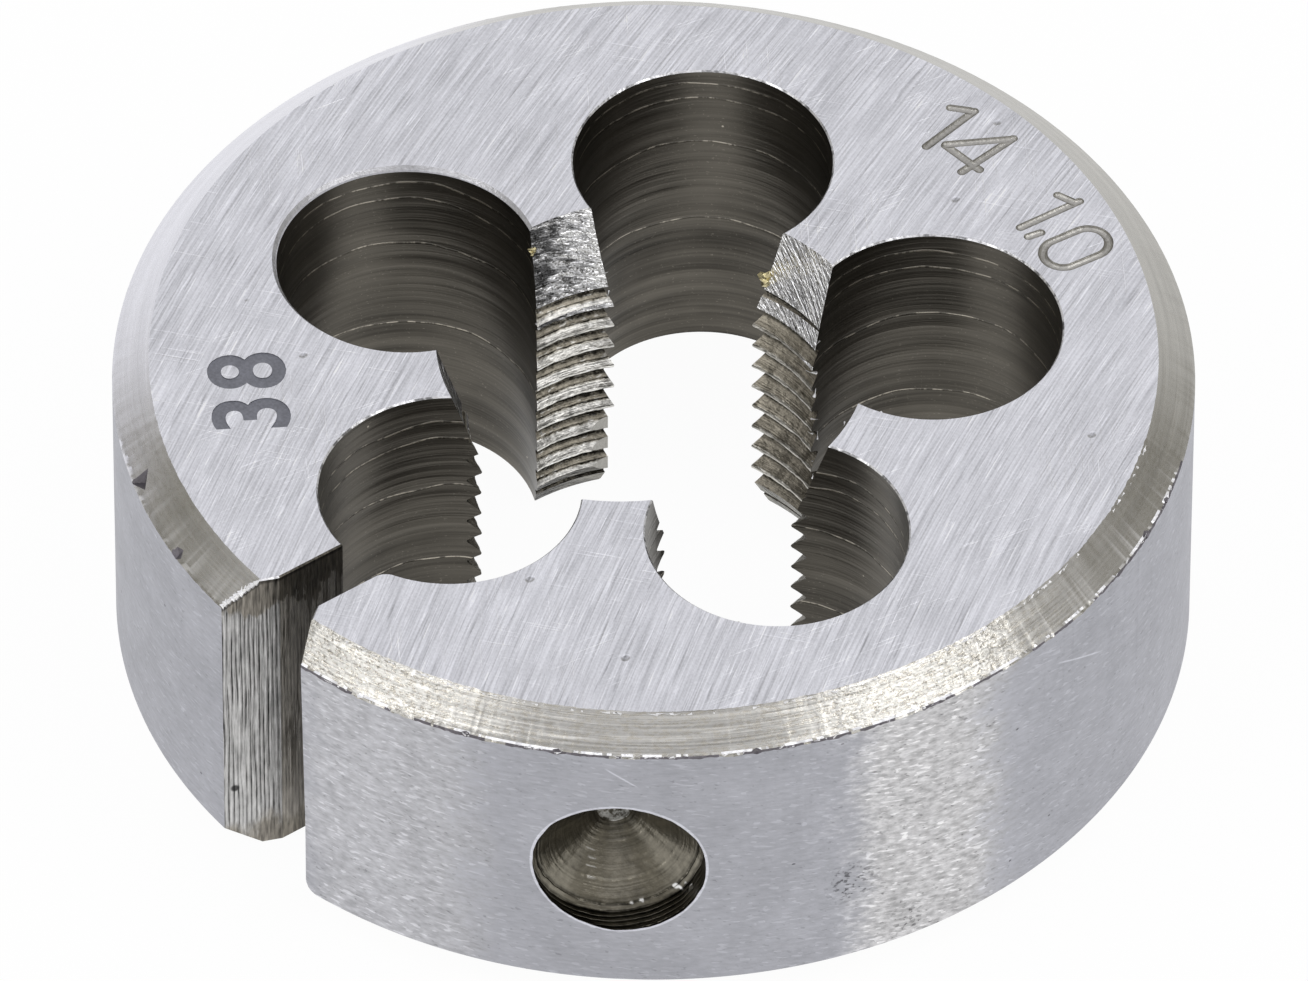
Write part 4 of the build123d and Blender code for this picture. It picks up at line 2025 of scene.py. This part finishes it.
@dataclass
class Burrs:
    """Slivers of turned-up metal on the edges, and two brass chips that stick to them.

    Attributes:
        bench: Sizes and materials.
        seed: Start of the random draws.
        lip_count: Slivers along the chamfer's lower edge.
        fringe_count: Slivers along its upper edge.
        stretch: Azimuths between which both lie, in degrees.
        notch_count: Slivers along the top of the notch's face.
        curls: Slivers on the lands' edges.
        swarf: Brass chips on the lands' edges.
        margin: How far all of it stays inside the outside, in millimetres.
    """

    bench: Bench
    seed: int = 14
    lip_count: int = 90
    fringe_count: int = 80
    stretch: Flat = (-82.5, 32.0)
    notch_count: int = 10
    curls: tuple[EdgeSpot, ...] = (
        EdgeSpot(54.0, 1.0, 6.6, 8.7, 0.55),
        EdgeSpot(54.0, 1.0, 6.7, 7.5, 0.6),
        EdgeSpot(54.0, 1.0, 6.6, 6.4, 0.35),
        EdgeSpot(54.0, 1.0, 6.9, 5.2, 0.4),
        EdgeSpot(54.0, 1.0, 6.6, 4.3, 0.3),
        EdgeSpot(54.0, 1.0, 6.9, 9.9, 0.35),
        EdgeSpot(198.0, -1.0, 6.6, 9.3, 0.3),
        EdgeSpot(126.0, 1.0, 6.9, 10.4, 0.4),
        EdgeSpot(126.0, 1.0, 6.7, 9.6, 0.35),
        EdgeSpot(54.0, 1.0, 6.5, 5.8, 0.32),
        EdgeSpot(54.0, 1.0, 6.6, 3.5, 0.3),
        EdgeSpot(54.0, -1.0, 7.7, 12.85, 0.34),
        EdgeSpot(54.0, -1.0, 8.5, 12.9, 0.4),
        EdgeSpot(54.0, -1.0, 7.0, 11.6, 0.36),
        EdgeSpot(-18.0, -1.0, 13.6, 12.92, 0.45),
    )
    swarf: tuple[EdgeSpot, ...] = (EdgeSpot(126.0, -1.0, 6.93, 11.1, 0.21), EdgeSpot(198.0, -1.0, 7.3, 12.2, 0.11))
    margin: float = 0.008

    def sliver(self, middle: Vector, heading: Vector, length: float, width: float) -> Mesh:
        """Makes one sliver, a small tapered spike with a bend.

        Args:
            middle: Its middle.
            heading: Where its tip points.
            length: Its length.
            width: Its width at the root.

        Returns:
            The sliver.
        """
        bpy.ops.mesh.primitive_cone_add(vertices=6, radius1=width / 2, radius2=width / 8, depth=length / 2)
        spike = bpy.context.object
        with editing(spike, Pick.FACE, lambda face: face.normal.z > LEVEL):
            bpy.ops.mesh.extrude_region_move(TRANSFORM_OT_translate={"value": (width * 0.6, 0.0, length / 2)})
            bpy.ops.transform.resize(value=(0.4, 0.4, 1.0))
        spike.rotation_euler = heading.to_track_quat("Z", "X").to_euler()
        spike.location = middle
        return settle(spike)

    def along_chamfer(self, draw: random.Random, count: int, upper: bool) -> list[Mesh]:
        """Scatters slivers along one edge of the start face's chamfer.

        Args:
            draw: Gives the random draws.
            count: How many there are.
            upper: Whether they lie on the upper edge.

        Returns:
            The slivers.
        """
        s = self.bench.sizes
        inwards = s.chamfer_width - 0.08 if upper else 0.05
        height = s.thickness - 0.07 if upper else s.thickness - s.chamfer_height
        longest, widest = (0.4, 0.13) if upper else (0.5, 0.13)
        made = []
        for _ in range(count):
            azimuth = math.radians(draw.uniform(*self.stretch))
            outwards = Vector((math.cos(azimuth), math.sin(azimuth), 0.0))
            around = Vector((-math.sin(azimuth), math.cos(azimuth), 0.0)) * draw.choice((-1.0, 1.0))
            middle = outwards * (s.outer_radius - inwards)
            middle.z = height + draw.uniform(-0.03, 0.05)
            heading = around + outwards * draw.uniform(-0.1, 0.25) + Vector((0.0, 0.0, draw.uniform(-0.5, 0.9)))
            length, width = draw.uniform(0.3, 1.0) * longest, draw.uniform(0.5, 1.0) * widest
            made.append(self.sliver(middle, heading, length, width))
        return made

    def along_notch(self, draw: random.Random) -> list[Mesh]:
        """Lays a thick burr across the chamfer, along the top of the notch's left face.

        Args:
            draw: Gives the random draws.

        Returns:
            The slivers that make it up.
        """
        s = self.bench.sizes
        ends = []
        for radius, height in (
            (s.outer_radius, s.thickness - s.chamfer_height),
            (s.outer_radius - s.chamfer_width, s.thickness),
        ):
            across = (radius - s.notch_apex) * s.notch_slope
            ends.append(Vector((-across, -math.sqrt(radius**2 - across**2), height)))
        low, high = ends
        made = []
        for index in range(self.notch_count):
            middle = low.lerp(high, (index + 0.6) / (self.notch_count + 0.5))
            heading = (high - low).normalized() + Vector((draw.uniform(-0.3, 0.3), 0.0, draw.uniform(-0.1, 0.4)))
            made.append(self.sliver(middle, heading, draw.uniform(0.3, 0.5), draw.uniform(0.2, 0.32)))
        return made

    def build(self) -> list[Mesh]:
        """Makes the slivers and the brass chips.

        Returns:
            Both pieces.
        """
        s = self.bench.sizes
        draw = random.Random(self.seed)
        slivers = self.along_chamfer(draw, self.lip_count, False)
        slivers += self.along_chamfer(draw, self.fringe_count, True)
        slivers += self.along_notch(draw)
        for spot in self.curls:
            heading = Vector((draw.uniform(-0.4, 1.0), draw.uniform(-1.0, 0.2), draw.uniform(-0.4, 1.0)))
            slivers.append(self.sliver(spot.on(s), heading, spot.size, 0.22 * spot.size))
        bits = []
        for spot in self.swarf:
            bpy.ops.mesh.primitive_ico_sphere_add(subdivisions=2, radius=spot.size, location=spot.on(s))
            bit = settle(bpy.context.object)
            for vertex in bit.data.vertices:
                aside = vertex.co - spot.on(s)
                vertex.co += aside * (1.3 * noise.noise(aside * 1.5 / spot.size) + draw.uniform(-0.25, 0.35))
            bits.append(bit)
        made = []
        for name, finish, parts in (
            ("edge_burrs", Finish.BURR, slivers),
            ("brass_swarf", Finish.SWARF, bits),
        ):
            piece = dress(join(parts), self.bench.materials[finish])
            piece.name = name
            self.keep_in(piece)
            piece.scale = (MM, MM, MM)
            settle(piece)
            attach(piece, BODY)
            made.append(piece)
        return made

    def keep_in(self, piece: Mesh) -> None:
        """Keeps a piece inside the die's outside and under its start face.

        Args:
            piece: The piece, in millimetres.
        """
        s = self.bench.sizes
        limit = s.outer_radius - self.margin
        for vertex in piece.data.vertices:
            vertex.co.xy *= min(1.0, limit / vertex.co.xy.length)
            vertex.co.y = max(vertex.co.y, CAD_BOX[0][1] / MM + self.margin)
            vertex.co.z = min(vertex.co.z, s.thickness - self.margin)


@dataclass(frozen=True)
class Studio:
    """Floor, lights and camera.

    The camera's values come from a fit to the photograph, in the CAD frame, with lengths in millimetres.
    """

    azimuth: float = -44.0
    elevation: float = 44.7479
    roll: float = 0.2145
    distance: float = 828.975
    aim_height: float = 5.0
    shift_right: float = -0.0314
    shift_up: float = -0.8581
    lens: float = 646.57
    sensor_width: float = 36.0
    clip: Flat = (0.01, 20.0)
    floor_size: float = 3.0
    floor_colour: Point = (0.9, 0.9, 0.9)
    floor_glow: float = 0.96
    horizon: Point = (0.95, 0.95, 0.95)
    dusk: Point = (0.33, 0.315, 0.275)
    ceiling: Point = (0.95, 0.95, 0.98)
    low_band: Flat = (0.14, 0.26)
    high_band: Flat = (0.38, 0.74)
    boxes: tuple[tuple[float, float, float], ...] = ((-103.5, 46.0, 0.21), (16.0, 46.0, 0.28))
    box_distance: float = 0.4
    box_size: Flat = (0.15, 0.22)

    def camera(self) -> bpy.types.Object:
        """Makes the camera at the photograph's viewing angle.

        Returns:
            The camera.
        """
        azimuth, elevation, roll = (math.radians(x) for x in (self.azimuth, self.elevation, self.roll))
        back = Vector(
            (
                math.cos(azimuth) * math.cos(elevation),
                math.sin(azimuth) * math.cos(elevation),
                math.sin(elevation),
            )
        )
        level = Vector((-math.sin(azimuth), math.cos(azimuth), 0.0))
        rise = back.cross(level)
        right = level * math.cos(roll) + rise * math.sin(roll)
        up = rise * math.cos(roll) - level * math.sin(roll)
        aim = Vector((0.0, 0.0, self.aim_height))
        where = aim - right * self.shift_right - up * self.shift_up + back * self.distance
        bpy.ops.object.camera_add()
        camera = bpy.context.object
        camera.name = "camera"
        camera.matrix_world = Matrix(
            (
                (right.x, up.x, back.x, where.x * MM),
                (right.y, up.y, back.y, where.y * MM),
                (right.z, up.z, back.z, where.z * MM),
                (0.0, 0.0, 0.0, 1.0),
            )
        )
        camera.data.sensor_fit = "HORIZONTAL"
        camera.data.sensor_width = self.sensor_width
        camera.data.lens = self.lens
        camera.data.clip_start, camera.data.clip_end = self.clip
        bpy.context.scene.camera = camera
        return camera

    def floor(self) -> Mesh:
        """Makes the white floor, which stays white where it is looked at and keeps part of the shadow.

        Returns:
            The floor.
        """
        bpy.ops.mesh.primitive_plane_add(size=self.floor_size, location=(0.0, 0.0, 0.0))
        floor = bpy.context.object
        floor.name = "floor"
        material = bpy.data.materials.new("white_floor")
        material.use_nodes = True
        material.node_tree.nodes.clear()
        kit = Kit(material.node_tree)
        seen = kit.node("ShaderNodeLightPath", {}, {}, "Is Camera Ray")
        rays = seen.socket.node.outputs
        seen = seen + Wire(kit, rays["Is Glossy Ray"]) + Wire(kit, rays["Is Transmission Ray"])
        speckle = kit.grain((4.0, 4.0, 4.0), detail=4.0)
        paint = kit.node("ShaderNodeBsdfDiffuse", {}, {"Color": kit.lit(self.floor_colour, 0.98 + speckle * 0.04)})
        glow = kit.node("ShaderNodeEmission", {}, {"Color": (1.0, 1.0, 1.0), "Strength": 1.0})
        share = kit.smooth(seen, 0.0, 1.0) * self.floor_glow
        kit.deliver("ShaderNodeOutputMaterial", kit.node("ShaderNodeMixShader", {}, {0: share, 1: paint, 2: glow}))
        floor.data.materials.append(material)
        return floor

    def sky(self) -> bpy.types.World:
        """Makes the studio's surroundings, darker low down and pale overhead.

        Returns:
            The world.
        """
        world = bpy.data.worlds.new("studio")
        world.use_nodes = True
        world.node_tree.nodes.clear()
        kit = Kit(world.node_tree)
        heading = kit.node("ShaderNodeTexCoord", {}, {}, "Generated")
        parts = kit.node("ShaderNodeSeparateXYZ", {}, {0: heading}, "Z")
        low = kit.blend(kit.smooth(parts, self.low_band[0], self.low_band[1]), self.horizon, self.dusk)
        colour = kit.blend(kit.smooth(parts, self.high_band[0], self.high_band[1]), low, self.ceiling)
        kit.deliver("ShaderNodeOutputWorld", kit.node("ShaderNodeBackground", {}, {"Color": colour, "Strength": 1.0}))
        bpy.context.scene.world = world
        return world

    def lamps(self) -> None:
        """Hangs the two soft boxes."""
        for azimuth, elevation, power in self.boxes:
            angle, height = math.radians(azimuth), math.radians(elevation)
            towards = Vector(
                (math.cos(angle) * math.cos(height), math.sin(angle) * math.cos(height), math.sin(height))
            )
            bpy.ops.object.light_add(type="AREA", location=towards * self.box_distance)
            lamp = bpy.context.object
            lamp.name = "soft_box"
            lamp.data.shape = "RECTANGLE"
            lamp.data.size, lamp.data.size_y = self.box_size
            lamp.data.energy = power
            lamp.rotation_euler = towards.to_track_quat("Z", "Y").to_euler()


def main() -> None:
    """Builds the die, its floor, lights and camera."""
    materials = {finish: FINISHES[finish].material(finish.value) for finish in Finish}
    bench = Bench(DieSizes(), materials)
    studio = Studio()
    studio.camera()
    studio.floor()
    studio.sky()
    studio.lamps()
    die = Die(bench).build()
    for piece in (die, *Burrs(bench).build()):
        log.info("%s has %d faces", piece.name, len(piece.data.polygons))
    bpy.context.scene.view_settings.view_transform = "Standard"


if __name__ == "__main__":
    logging.basicConfig(level=logging.INFO, format="%(name)s: %(message)s")
    main()
